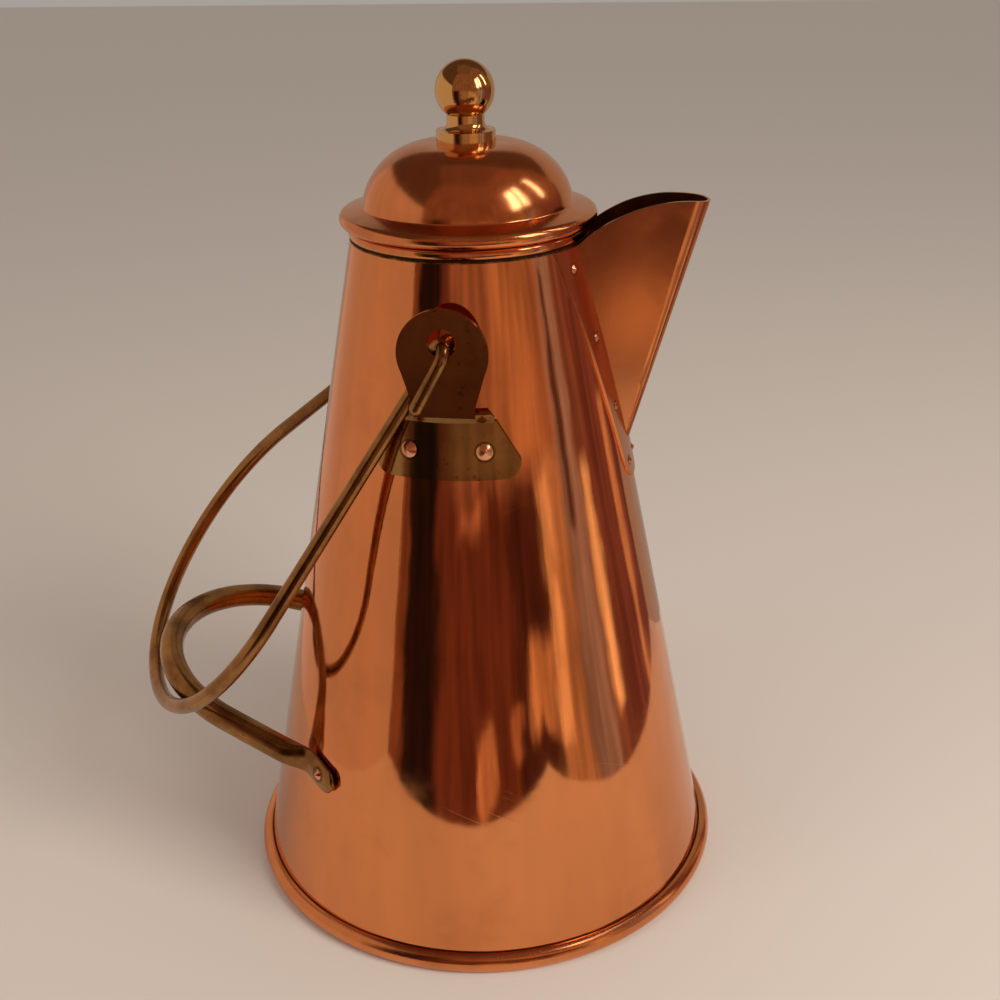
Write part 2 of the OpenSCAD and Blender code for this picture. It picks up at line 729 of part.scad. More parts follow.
// Room for the bail's arm, which lies beside the ear's step when it is down
module arm_way(neck_end, arm_end) {
    rod(neck_end, arm_end, bail_arm_rod_r + bail_ear_gap, bail_grip_rod_r + bail_ear_gap);
}

module ear_right() {
    color(OLD_BRASS)
        difference() {
            ear();
            arm_way(neck_end_right, arm_end_right);
        }
}

module ear_left() {
    color(OLD_BRASS)
        difference() {
            mirror([0, 1, 0])
                ear();
            arm_way(neck_end_left, arm_end_left);
        }
}

module ear_rivets(side) {
    color(COPPER)
        at_ear_rivets(side)
            rivet(ear_rivet_head_r, ear_rivet_r, ear_plate, cone_r(ear_rivet_z));
}

module ear_rivets_right() {
    ear_rivets(-1);
}

module ear_rivets_left() {
    ear_rivets(1);
}

// One end of the bail: its hook, neck and straight arm
module bail_end(side, dip, to) {
    across = hook_across(side, dip);
    bend = hook_at(side, dip);
    tail = bend + bail_hook_bend_r * across;
    tail_end = tail + bail_tail * down(dip);
    neck_end = neck_at(side, dip, bail_neck);
    r = bail_hook_rod_r;
    frame_at(bend, -across, cross(-across, -down(dip)))
        rotate_extrude(angle = 180)
            translate([bail_hook_bend_r, 0])
                circle(r);
    rod(tail - 0.1 * down(dip), tail_end, r - ROD_STEP, r - ROD_STEP);
    translate(tail_end)
        sphere(r);
    rod(neck_at(side, dip, -0.1), neck_end, r - ROD_STEP, bail_arm_rod_r - ROD_STEP);
    translate(neck_end)
        sphere(bail_arm_rod_r);
    rod(neck_end, to + 0.1 * unit(to - neck_end),
        bail_arm_rod_r - ROD_STEP, bail_grip_rod_r - 2 * ROD_STEP);
}

module bail() {
    color(BRASS)
        union() {
            bail_end(-1, hook_dip_right, arm_end_right);
            bail_end(1, hook_dip_left, arm_end_left);
            bent_rod(arm_end_right, arm_dir_right, grip_mid, bail_grip_rod_r, 0);
            bent_rod(arm_end_left, arm_dir_left, grip_mid, bail_grip_rod_r - ROD_STEP, 0.1);
        }
}

// The handle's own frame: +X runs outwards and up, +Y to the pot's -Y side
module handle_frame() {
    frame_at([-handle_back, 0, handle_z], [-cos(handle_rise), 0, sin(handle_rise)],
        [sin(handle_rise), 0, cos(handle_rise)])
        children();
}

// The +Y end of the handle: a paddle curved to the body, and the rod's
// flattening that leads into it
module handle_end() {
    run = norm(paddle_neck - leg_foot);
    way = (paddle_neck - leg_foot) / run;
    up = unit(paddle_normal - (paddle_normal * way) * way);
    intersection() {
        cone_sheet(paddle_t, handle_z - 20, handle_z + 20, 90, 90);
        on_cone(handle_rivet_z, 180 - handle_turn)
            rotate([0, 0, paddle_slope])
                linear_extrude(12, center = true)
                    union() {
                        translate([-paddle_end + paddle_half, 0])
                            circle(paddle_half);
                        translate([-paddle_end + paddle_half, -paddle_half])
                            square([paddle_end - paddle_half + paddle_back, 2 * paddle_half]);
                    }
    }
    intersection() {
        rod(leg_foot, leg_foot + (run + 1) * way, handle_rod_r, paddle_half);
        frame_at(leg_foot, way, cross(way, up))
            linear_extrude(4 * paddle_half, center = true)
                polygon([[-1, -handle_rod_r - 0.5], [run + 2, -paddle_t / 2 + 0.1],
                    [run + 2, paddle_t / 2 - 0.1], [-1, handle_rod_r + 0.5]]);
    }
    translate(leg_foot)
        sphere(handle_rod_r + ROD_STEP);
}

module tipping_handle() {
    start = [0, handle_leg_half] + handle_leg_start * leg_dir;
    end = leg_end + 0.1 * leg_dir;
    color(BRASS)
        difference() {
            union() {
                handle_frame() {
                    translate([handle_loop_u, 0, 0])
                        rotate([0, 0, -loop_half_turn])
                            rotate_extrude(angle = 2 * loop_half_turn)
                                translate([handle_loop_r, 0])
                                    circle(handle_rod_r + ROD_STEP);
                    for (side = [-1, 1])
                        rod([start.x, side * start.y, 0], [end.x, side * end.y, 0],
                            handle_rod_r, handle_rod_r);
                }
                handle_end();
                mirror([0, 1, 0])
                    handle_end();
            }
            cone_solid(0, handle_z - 30, handle_z + 30);
            at_handle_rivets() rivet_hole(handle_rivet_r);
        }
}

module tipping_handle_rivets() {
    color(COPPER)
        at_handle_rivets()
            rivet(handle_rivet_head_r, handle_rivet_r, paddle_t, cone_r(handle_rivet_z));
}

// Half section of everything under the dome's surface, moved in by inset
module dome_section(inset) {
    intersection() {
        union() {
            translate([shoulder_c_r, shoulder_c_z])
                circle(dome_shoulder_r - inset);
            square([shoulder_c_r, lid_top_z - inset]);
        }
        translate([0, seat_z - inset])
            square([dome_r + 5, 60]);
    }
}

// Half section of the brim's slope, with its soft corner against the dome
module brim_slope() {
    start = atan2(corner_dome.y, corner_dome.x);
    end = atan2(-slope_normal.y, -slope_normal.x);
    turn = ((end - start) % 360 + 360) % 360;
    steps = 8;
    polygon([
        [dome_r - 2, seat_z], [roll_c_r, seat_z], [roll_c_r, roll_c_z], slope_out,
        for (i = [steps:-1:0])
            corner_c + brim_corner_r * [cos(start + turn * i / steps), sin(start + turn * i / steps)],
        [dome_r - 2, corner_c.y]
    ]);
}

module lid_shell() {
    color(COPPER)
        difference() {
            rotate_extrude()
                difference() {
                    union() {
                        dome_section(0);
                        brim_slope();
                        translate([roll_c_r, roll_c_z])
                            circle(brim_roll_r);
                    }
                    dome_section(lid_wall);
                    translate([roll_c_r, roll_c_z])
                        circle(brim_wire_r);
                }
            cylinder(h = 2 * lid_top_z, r = screw_hole_r);
        }
}

module lid_wire() {
    color(IRON)
        rotate_extrude()
            translate([roll_c_r, roll_c_z])
                circle(brim_wire_r);
}

module lid_skirt() {
    color(OLD_COPPER)
        rotate_extrude()
            translate([skirt_out_r - skirt_wall, seat_z - skirt_drop])
                square([skirt_wall, skirt_drop]);
}

module knob() {
    cove_c_z = lid_top_z + knob_foot_h + knob_cove_r;
    color(BRASS)
        difference() {
            union() {
                translate([0, 0, ball_c_z])
                    sphere(knob_ball_r);
                rotate_extrude()
                    difference() {
                        translate([0, lid_top_z])
                            square([knob_neck_r + knob_cove_r, ball_c_z - lid_top_z]);
                        translate([knob_neck_r + knob_cove_r, cove_c_z])
                            circle(knob_cove_r);
                        translate([knob_neck_r, cove_c_z])
                            square([knob_cove_r + 1, ball_c_z]);
                    }
                translate([0, 0, lid_top_z])
                    cylinder(h = knob_foot_h, r = knob_foot_r);
            }
            translate([0, 0, lid_top_z - 1])
                cylinder(h = knob_screw_in + 1.5, r = screw_hole_r);
        }
}

module knob_screw() {
    head_top_z = lid_top_z - lid_wall - washer_t;
    color(IRON)
        union() {
            translate([0, 0, head_top_z])
                cylinder(h = lid_wall + washer_t + knob_screw_in, r = knob_screw_r);
            translate([0, 0, head_top_z - knob_screw_head_h])
                cylinder(h = knob_screw_head_h, r = knob_screw_head_r);
        }
}

module knob_washer() {
    color(OLD_COPPER)
        translate([0, 0, lid_top_z - lid_wall - washer_t])
            difference() {
                cylinder(h = washer_t, r = washer_r);
                translate([0, 0, -1])
                    cylinder(h = washer_t + 2, r = screw_hole_r);
            }
}

body_shell();
base_plate();
base_rim();
base_wire();
mouth_ring();
spout();
spout_rivets();
ear_right();
ear_left();
ear_rivets_right();
ear_rivets_left();
tipping_handle();
tipping_handle_rivets();
bail();
lid_shell();
lid_wire();
lid_skirt();
knob();
knob_screw();
knob_washer();
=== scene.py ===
"""Dresses the solids of a copper coffee pot: sheet copper, brass rods, rivets and a studio."""

import math

import bmesh
import bpy
from bpy.props import FloatProperty, FloatVectorProperty, PointerProperty
from mathutils import Matrix, Vector, noise


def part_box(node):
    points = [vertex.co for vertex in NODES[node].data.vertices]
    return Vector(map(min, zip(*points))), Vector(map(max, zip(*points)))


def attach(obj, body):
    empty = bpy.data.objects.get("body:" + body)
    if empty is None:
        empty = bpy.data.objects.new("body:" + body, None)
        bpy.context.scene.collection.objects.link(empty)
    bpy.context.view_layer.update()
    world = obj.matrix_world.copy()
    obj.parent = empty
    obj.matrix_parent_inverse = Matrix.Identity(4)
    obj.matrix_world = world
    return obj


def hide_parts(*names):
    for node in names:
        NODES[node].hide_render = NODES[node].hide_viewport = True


bl_info = {
    "name": "Copper Coffee Pot",
    "version": (1, 0, 0),
    "blender": (4, 5, 0),
    "location": "View3D > Sidebar > Coffee Pot",
    "description": "Dresses a copper coffee pot and sets it in a plain studio",
    "category": "Object",
}

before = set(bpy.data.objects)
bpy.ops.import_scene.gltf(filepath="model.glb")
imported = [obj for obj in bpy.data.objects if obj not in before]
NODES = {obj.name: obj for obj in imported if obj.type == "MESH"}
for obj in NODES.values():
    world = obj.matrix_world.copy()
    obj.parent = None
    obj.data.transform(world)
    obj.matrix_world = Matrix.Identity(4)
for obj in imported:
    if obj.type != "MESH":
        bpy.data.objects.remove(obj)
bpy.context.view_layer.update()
MM = 0.001
SPOUT_HOLLOW = 0.045  # an upright line at this X runs up inside the spout

# ---- settings ----------------------------------------------------------


def colour(name, description, default):
    """A colour setting for a metal."""
    return FloatVectorProperty(
        name=name, description=description, subtype="COLOR", size=3, min=0, max=1, default=default
    )


def length(name, description, default):
    """A length setting in metres."""
    return FloatProperty(name=name, description=description, unit="LENGTH", default=default)


def angle(name, description, default):
    """An angle setting, given in degrees."""
    return FloatProperty(name=name, description=description, subtype="ANGLE", default=math.radians(default))


class PotFinish(bpy.types.PropertyGroup):
    """Colours and wear of the pot's metals"""

    copper: colour("Copper", "Polished copper sheet", (0.86, 0.32, 0.118))
    tarnish: colour("Tarnish", "Brown film on copper that isn't rubbed", (0.36, 0.105, 0.035))
    # dark colour for old polish and painted shade in creases, seams and round rivet heads; also the dark
    # patches of dull metal
    crease_dirt_and_shade: colour("Crease dirt and shade", "Old polish, verdigris and painted shade in the creases", (0.050, 0.036, 0.014))
    brass: colour("Brass", "Rubbed brass of the rods", (0.42, 0.215, 0.070))
    brass_film: colour("Brass film", "Brown film on the rods", (0.16, 0.068, 0.023))
    ear_brass: colour("Ear brass", "Dark brass of the ears", (0.42, 0.245, 0.082))
    knob_brass: colour("Knob brass", "Polished brass of the knob", (0.80, 0.47, 0.175))
    rivet: colour("Rivet copper", "Copper of the hammered rivets", (0.93, 0.46, 0.24))
    tin: colour("Tin", "Wiped tin inside the pot", (0.42, 0.38, 0.34))
    # dark colour laid on the spout's inner faces
    spout_inside_dark: colour("Spout inside", "Dark colour inside the spout", (0.10, 0.040, 0.016))
    iron: colour("Iron", "Wire and screw", (0.22, 0.21, 0.20))
    polish: FloatProperty(
        name="Polish", description="Roughness of the best polished copper", default=0.055, min=0.02, max=0.6
    )


class PotHandle(bpy.types.PropertyGroup):
    """Sizes of the tipping handle's bent rod"""

    height: length("Height", "Height of the rod's legs at the middle of the handle", 0.058)
    inset: length("Inset", "How far the legs start inside the body's side", 0.02385)
    turn: angle("Turn", "Bearing of each paddle from the handle's middle", 50.4)
    rise: angle("Rise", "How steeply the handle climbs away from the body", 19)
    rod: length("Rod radius", "Radius of the rod", 0.0045)
    loop: length("Loop radius", "Radius of the handle's round bow", 0.047)
    loop_out: length("Loop distance", "How far out the middle of the bow lies", 0.0268)
    leg_half: length("Leg spread", "Half the distance between the legs' starts", 0.0545)
    leg_start: length("Leg start", "Where the round rod ends along the leg", 0.013)
    paddle: length("Paddle thickness", "Thickness of the flattened end", 0.0028)
    paddle_half: length("Paddle half width", "Half the width of the flattened end", 0.0049)
    paddle_end: length("Paddle end", "How far the paddle reaches past its rivet", 0.008)
    paddle_back: length("Paddle back", "How far the flat reaches back towards the rod", 0.0074)
    rivet_up: length("Rivet height", "How far the rivets sit above the legs' height", 0.0008)
    hammer: length("Hammer marks", "How deep the hammer marks are", 0.00010)


class PotStudio(bpy.types.PropertyGroup):
    """Camera, floor and lamps"""

    lens: FloatProperty(name="Lens", description="Focal length in millimetres", default=48.6, min=10)
    eye: FloatVectorProperty(
        name="Eye", description="Where the camera stands", subtype="TRANSLATION", unit="LENGTH",
        size=3, default=(0.0805, -0.44305, 0.3485),
    )
    bearing: FloatProperty(
        name="Bearing", description="Turn of the pot under the camera", subtype="ANGLE",
        default=math.radians(10.3),
    )
    pitch: FloatProperty(
        name="Pitch", description="How far the camera looks down", subtype="ANGLE",
        default=math.radians(24.63),
    )
    yaw: FloatProperty(
        name="Yaw", description="How far the camera looks to the right", subtype="ANGLE",
        default=math.radians(1.08),
    )
    roll: FloatProperty(
        name="Roll", description="How far the camera leans", subtype="ANGLE",
        default=math.radians(-1.26),
    )
    lamp: FloatProperty(name="Lamp", description="Power of the main soft lamp", default=9.0, min=0)
    floor: colour("Floor", "Plain pale floor", (0.80, 0.71, 0.635))


SETTINGS = {"pot_finish": PotFinish, "pot_handle": PotHandle, "pot_studio": PotStudio}


# ---- node trees --------------------------------------------------------

# The noises by name: scale per metre, detail and roughness.
CLOUDS = {
    # the ragged dirt noise frays the bands of painted crease shade and dirt
    "film": (38, 4, 0.6), "specks": (900, 2, 0.5), "speckled patches": (45, 2, 0.5), "smudges": (55, 5, 0.65),
    "ragged shade and dirt": (210, 4, 0.7), "nicked stretches": (60, 2, 0.5), "lining": (70, 5, 0.6),
    "dents": (15, 1, 0.4), "ripples": (60, 2, 0.5), "rod film": (60, 5, 0.65), "rod spots": (420, 3, 0.6),
    "rod smudges": (90, 4, 0.6), "rod dents": (45, 2, 0.5), "dull patches": (70, 5, 0.6),
    "dull smudges": (120, 3, 0.6), "dull pits": (150, 4, 0.6), "wavy bearing": (26, 2, 0.5),
    "wavy height": (14, 2, 0.5),
}
# Noises that run round the pot: scale per radian, per metre out and per metre up, detail and roughness.
ROUND_CLOUDS = {
    "rubbed": ((2.2, 6, 5), 3, 0.6), "nicks": ((30, 900, 1500), 4, 0.75),
    "spun lines": ((2.0, 2600, 2600), 2, 0.5), "planished": ((150, 60, 55), 3, 0.6),
}
# Noises drawn out along Z: scale per metre along X, Y and Z, detail and roughness.
LONG_CLOUDS = {"hair": ((900, 900, 40), 2, 0.5), "drawn lines": ((700, 700, 160), 2, 0.5)}


class Recipe:
    """A material's node tree with short ways to add to it."""

    def __init__(self, name):
        self.material = bpy.data.materials.new(name)
        self.material.use_nodes = True
        self.tree = self.material.node_tree
        self.shader = self.tree.nodes["Principled BSDF"]
        self.place = self.add("ShaderNodeTexCoord").outputs["Object"]

    def add(self, kind, inputs=(), **settings):
        """A new node with its inputs linked or set."""
        node = self.tree.nodes.new(kind)
        for key, value in settings.items():
            setattr(node, key, value)
        for key, value in dict(inputs).items():
            self.set(node.inputs[key], value)
        return node

    def set(self, socket, value):
        """Links a socket to value, or gives it that value."""
        if isinstance(value, bpy.types.NodeSocket):
            self.tree.links.new(value, socket)
        else:
            socket.default_value = value

    def math(self, operation, a, b=0.0, c=0.0):
        node = self.add("ShaderNodeMath", operation=operation)
        for socket, value in zip(node.inputs, (a, b, c)):
            self.set(socket, value)
        return node.outputs[0]

    def vector(self, operation, a, b):
        return self.add("ShaderNodeVectorMath", {0: a, 1: b}, operation=operation).outputs

    def scaled(self, vector, factor):
        node = self.add("ShaderNodeVectorMath", {0: vector}, operation="SCALE")
        self.set(node.inputs["Scale"], factor)
        return node.outputs[0]

    def mapped(self, vector, **change):
        """Coordinates that are scaled, turned and moved, in that order."""
        inputs = {key.title(): value for key, value in change.items()}
        return self.add("ShaderNodeMapping", {"Vector": vector, **inputs}).outputs[0]

    def noise(self, vector, scale, detail, rough):
        inputs = {"Vector": vector, "Scale": scale, "Detail": detail, "Roughness": rough}
        return self.add("ShaderNodeTexNoise", inputs).outputs["Fac"]

    def cloud(self, kind):
        return self.noise(self.place, *CLOUDS[kind])

    def round_cloud(self, kind):
        scale, detail, rough = ROUND_CLOUDS[kind]
        return self.noise(self.mapped(self.around(), scale=scale), 1.0, detail, rough)

    def long_cloud(self, kind):
        scale, detail, rough = LONG_CLOUDS[kind]
        return self.noise(self.mapped(self.place, scale=scale), 1.0, detail, rough)

    def ramp(self, value, low, high, to_low=0.0, to_high=1.0):
        """value from low..high, smoothly, to to_low..to_high."""
        inputs = {"Value": value, "From Min": low, "From Max": high, "To Min": to_low, "To Max": to_high}
        return self.add("ShaderNodeMapRange", inputs, interpolation_type="SMOOTHSTEP").outputs[0]

    def between(self, value, low, high, soft):
        """1 where value lies between low and high, fading over soft on both sides of each."""
        rise = self.ramp(value, low - soft, low + soft)
        fall = self.ramp(value, high - soft, high + soft, 1.0, 0.0)
        return self.math("MULTIPLY", rise, fall)

    def mix(self, share, a, b):
        """Colour a with a share of colour b over it."""
        node = self.add("ShaderNodeMix", data_type="RGBA")
        self.set(node.inputs[0], share)
        for socket, value in ((node.inputs[6], a), (node.inputs[7], b)):
            self.set(socket, value if isinstance(value, bpy.types.NodeSocket) else (*value, 1))
        return node.outputs[2]

    def axis(self, name):
        """One Object coordinate: X, Y or Z."""
        return self.add("ShaderNodeSeparateXYZ", {"Vector": self.place}).outputs[name]

    def radius(self):
        """Level distance from the pot's axis."""
        x, y = (self.axis(n) for n in "XY")
        return self.math("SQRT", self.math("ADD", self.math("MULTIPLY", x, x), self.math("MULTIPLY", y, y)))

    def around(self):
        """Coordinates that run round the pot's axis: angle, radius, height."""
        turn = self.math("ARCTAN2", self.axis("Y"), self.axis("X"))
        inputs = {"X": turn, "Y": self.radius(), "Z": self.axis("Z")}
        return self.add("ShaderNodeCombineXYZ", inputs).outputs[0]

    def cone_gap(self):
        """Level distance out from the body's cone."""
        base, slope = cone()
        return self.math("SUBTRACT", self.radius(), self.math("MULTIPLY_ADD", self.axis("Z"), -slope, base))

    def near(self, centres, low, high):
        """1 closer than low to any of the centres, 0 past high."""
        closest = None
        for centre in centres:
            gap = self.vector("DISTANCE", self.place, centre)["Value"]
            closest = gap if closest is None else self.math("MINIMUM", closest, gap)
        return self.ramp(closest, low, high, 1.0, 0.0)

    def faces_in(self, hollow):
        """1 on faces that look at the upright line at X = hollow, 0 on the others."""
        away = self.vector("SUBTRACT", self.place, (hollow, 0, 0))[0]
        level = self.vector("MULTIPLY", away, (1, 1, 0))[0]
        normal = self.add("ShaderNodeTexCoord").outputs["Normal"]
        facing = self.vector("DOT_PRODUCT", level, normal)["Value"]
        return self.ramp(facing, -3 * MM, -1 * MM, 1.0, 0.0)

    def bump(self, heights):
        """Bumps laid on each other: (height, distance in metres, strength) each."""
        normal = None
        for height, distance, strength in heights:
            inputs = {"Height": height, "Distance": distance, "Strength": strength}
            if normal is not None:
                inputs["Normal"] = normal
            normal = self.add("ShaderNodeBump", inputs).outputs[0]
        self.set(self.shader.inputs["Normal"], normal)

    def glow(self, light):
        """Turns the recipe into plain light of that colour."""
        shader = self.add("ShaderNodeEmission", {"Color": light})
        self.tree.links.new(shader.outputs[0], self.tree.nodes["Material Output"].inputs["Surface"])
        return self.material


# ---- metals ------------------------------------------------------------


def finish_settings():
    return bpy.context.scene.pot_finish


def tone(tint, gain=1.0):
    """A setting's colour, darkened or lightened by gain."""
    return tuple(min(1.0, c * gain) for c in tint)


class Metal(Recipe):
    """A metal on which film, dirt, wear and painted shade are laid, one after the other."""

    def __init__(self, name, base):
        super().__init__(name)
        self.base = base
        self.rough = 0.0

    def lay(self, share, tint, rougher=0.0):
        """Covers a share of the metal with a tint and makes it rougher there."""
        self.base = self.mix(share, self.base, tint)
        if rougher:
            self.rough = self.math("ADD", self.rough, self.math("MULTIPLY", share, rougher))

    def shade_and_dirt_round(self, heads, width, share, tint, rougher=0.0):
        """Painted shade and dirt round rivet heads, each (centre, radius), which fades out over width."""
        radius = heads[0][1]
        ring = self.near([centre for centre, _ in heads], radius + 0.05 * MM, radius + width)
        self.lay(self.math("MULTIPLY", ring, share), tint, rougher)

    def done(self):
        """The finished material."""
        self.set(self.shader.inputs["Base Color"], self.base)
        self.set(self.shader.inputs["Roughness"], self.rough)
        self.shader.inputs["Metallic"].default_value = 1.0
        return self.material


class SheetCopper(Metal):
    """Polished copper sheet with a brown film, specks and smudges."""

    def __init__(self, name, film=0.25, rough=0.0):
        s = finish_settings()
        super().__init__(name, tone(s.copper))
        # dark colour for painted shade and dirt in creases, seams and round rivet heads
        self.crease_dirt_and_shade = tone(s.crease_dirt_and_shade)
        self.worn = tone(s.tarnish, 0.4)
        self.lay(self.ramp(self.round_cloud("rubbed"), 0.32, 0.68), tone(s.copper, 0.84))
        self.lay(self.ramp(self.cloud("film"), 0.48, 0.80, 0.0, film), tone(s.tarnish))
        specks = self.ramp(self.cloud("specks"), 0.76, 0.82)
        patches = self.ramp(self.cloud("speckled patches"), 0.54, 0.68, 0.0, 0.7)
        self.lay(self.math("MULTIPLY", specks, patches), tone(s.tarnish, 0.6))
        smudges = self.ramp(self.cloud("smudges"), 0.45, 0.8, 0.0, 0.07)
        self.rough = self.math("ADD", smudges, s.polish + rough)

    def crease_shade_and_dirt_band(self, low, high, soft=0.3 * MM):
        """Ragged dark band of painted crease shade and dirt between the heights low and high, fading over
        soft.
        """
        z = self.axis("Z")
        band = self.math("MULTIPLY", self.ramp(z, low - soft, low), self.ramp(z, high, high + soft, 1.0, 0.0))
        ragged = self.ramp(self.cloud("ragged shade and dirt"), 0.34, 0.62, 0.45, 1.0)
        self.lay(self.math("MULTIPLY", band, ragged), self.crease_dirt_and_shade, 0.4)

    def seam_shade_and_dirt(self, width):
        """Painted shade and dirt where the piece comes closer than width to the body's cone."""
        self.lay(self.ramp(self.cone_gap(), width * 0.6, width, 0.9, 0.0), self.crease_dirt_and_shade, 0.4)

    # painted shade and dirt in a ring round each rivet head
    def rivet_shade_and_dirt(self, heads):
        self.shade_and_dirt_round(heads, 0.5 * MM, 0.55, self.crease_dirt_and_shade, 0.3)

    def nicked_edge(self, start):
        """Small worn nicks past the radius start."""
        edge = self.ramp(self.radius(), start - 0.8 * MM, start)
        nicks = self.math("MULTIPLY", edge, self.ramp(self.round_cloud("nicks"), 0.60, 0.70))
        nicks = self.math("MULTIPLY", nicks, self.ramp(self.cloud("nicked stretches"), 0.45, 0.6))
        self.lay(self.math("MULTIPLY", nicks, 0.6), self.worn, 0.5)

    def lined(self, hollow, tint):
        """A dull lining on the faces round the hollow at X = hollow."""
        lining = self.mix(self.ramp(self.cloud("lining"), 0.35, 0.7), tone(tint), tone(tint, 0.55))
        self.lay(self.faces_in(hollow), lining, 0.32)

    def scratches(self):
        """Thin straight scratches, here and there and in three directions."""
        arm = 0.07  # turns an angle round the pot into about the metres along the body
        total = None
        for turn, fine in ((0.25, 1500), (-0.45, 1900), (1.35, 1300)):
            turned = self.mapped(self.around(), rotation=(0.0, turn, 0.0), scale=(arm, 0.0, 1))
            drawn = self.mapped(turned, scale=(22, 1, fine), location=(turn, turn, turn))
            lines = self.ramp(self.noise(drawn, 1.0, 0, 0.5), 0.77, 0.83)
            patches = self.ramp(self.noise(self.place, 24 + fine / 100, 2, 0.5), 0.50, 0.62)
            lines = self.math("MULTIPLY", lines, patches)
            total = lines if total is None else self.math("MAXIMUM", total, lines)
        return total

    def polished(self, spun=False, dents=1.0):
        """Soft dents, polish lines, hair lines and scratches. Spun sheet has its lines round the axis."""
        self.bump([
            (self.cloud("dents"), 1.0 * MM * dents, 0.5),
            (self.cloud("ripples"), 0.06 * MM * dents, 0.6),
            (self.round_cloud("spun lines" if spun else "planished"), 0.01 * MM, 0.5),
            (self.long_cloud("hair"), 0.006 * MM, 0.25),
            (self.scratches(), 0.01 * MM, 0.2),
        ])
        return self.done()


class RodBrass(Metal):
    """Brass or copper that hands have rubbed: bright where it is worn, brown film elsewhere."""

    def __init__(self, name, brass, film_tint, rough, film=0.8):
        super().__init__(name, tone(brass))
        self.film_tint = film_tint
        self.lay(self.ramp(self.cloud("rod film"), 0.36, 0.68, 0.1, film), tone(film_tint))
        spots = self.ramp(self.cloud("rod spots"), 0.62, 0.72)
        self.lay(self.math("MULTIPLY", spots, 0.5), tone(film_tint, 0.45))
        self.rough = self.math("ADD", self.ramp(self.cloud("rod smudges"), 0.35, 0.75, 0.0, 0.10), rough)
        dents = (self.cloud("rod dents"), 0.2 * MM, 0.5)
        self.bump([dents, (self.long_cloud("drawn lines"), 0.02 * MM, 0.4)])

    # painted shade and dirt in a ring round each rivet head
    def rivet_shade_and_dirt(self, heads):
        self.shade_and_dirt_round(heads, 0.6 * MM, 0.6, tone(self.film_tint, 0.25))


def dull_metal(name, bright, dark):
    """Iron, or old copper out of reach of the polish."""
    metal = Metal(name, tone(bright))
    metal.lay(metal.ramp(metal.cloud("dull patches"), 0.35, 0.7), tone(dark))
    metal.rough = metal.math("ADD", metal.ramp(metal.cloud("dull smudges"), 0.3, 0.7, 0.0, 0.15), 0.42)
    metal.bump([(metal.cloud("dull pits"), 0.1 * MM, 0.6)])
    return metal.done()


def coat(node, material):
    """Puts a material on every slot of a CAD node."""
    for slot in NODES[node].material_slots:
        slot.material = material


# ---- operators ---------------------------------------------------------


class Step(bpy.types.Operator):
    """One step of dressing the pot"""

    bl_options = {"REGISTER", "UNDO"}

    def execute(self, context):
        self.make(context)
        return {"FINISHED"}


class POT_OT_camera(Step):
    """Stands the camera in front of the pot"""

    bl_idname = "pot.camera"
    bl_label = "Camera"

    def make(self, context):
        s = context.scene.pot_studio
        ahead = Vector((math.sin(s.yaw) * math.cos(s.pitch), math.cos(s.yaw) * math.cos(s.pitch),
                        -math.sin(s.pitch)))
        level = Vector((math.cos(s.yaw), -math.sin(s.yaw), 0))
        upright = level.cross(ahead)
        right = math.cos(s.roll) * level + math.sin(s.roll) * upright
        up = math.cos(s.roll) * upright - math.sin(s.roll) * level
        turn = Matrix.Rotation(s.bearing, 3, "Z").transposed()
        axes = [turn.inverted() @ v for v in (right, up, -ahead)]
        data = bpy.data.cameras.new("camera")
        data.lens = s.lens
        data.sensor_width = 36
        data.clip_start = 0.01
        camera = linked("camera", data)
        rotation = Matrix(axes).transposed().to_4x4()
        camera.matrix_world = Matrix.Translation(Vector(s.eye)) @ rotation
        context.scene.camera = camera


class POT_OT_studio(Step):
    """Lays the floor, hangs the lamps and puts up the walls that the pot mirrors"""

    bl_idname = "pot.studio"
    bl_label = "Studio"

    def make(self, context):
        s = context.scene.pot_studio
        half = 4.0
        corners = [(-half, -half, 0), (half, -half, 0), (half, half, 0), (-half, half, 0)]
        floor = new_object("floor", corners, [(0, 1, 2, 3)])
        paint = Recipe("floor")
        paint.set(paint.shader.inputs["Base Color"], (*s.floor, 1))
        paint.set(paint.shader.inputs["Roughness"], 0.55)
        floor.data.materials.append(paint.material)
        soft_lamp("lamp_right", (0.85, -0.45, 0.75), (0.05, 0, 0.12), 0.6, s.lamp)
        soft_lamp("lamp_left", (-0.8, -0.7, 0.7), (0, 0, 0.15), 0.5, s.lamp * 0.2)
        reflecting_tent()
        world = bpy.data.worlds.new("studio")
        world.use_nodes = True
        context.scene.world = world
        back = world.node_tree.nodes["Background"]
        back.inputs["Color"].default_value = (0.92, 0.84, 0.77, 1)
        back.inputs["Strength"].default_value = 0.42
        context.scene.view_settings.view_transform = "Standard"


LAMP_TINT = (1.0, 0.93, 0.86)
TENT_LOW = (-0.210, -0.265)  # the tent's corner at the front left
TENT_HIGH = (0.235, 0.190)  # the tent's corner at the back right
TENT_FOOT = 0.0005
PALE_TOP = 0.40  # how high the pale walls reach
TENT_TOP = 0.90
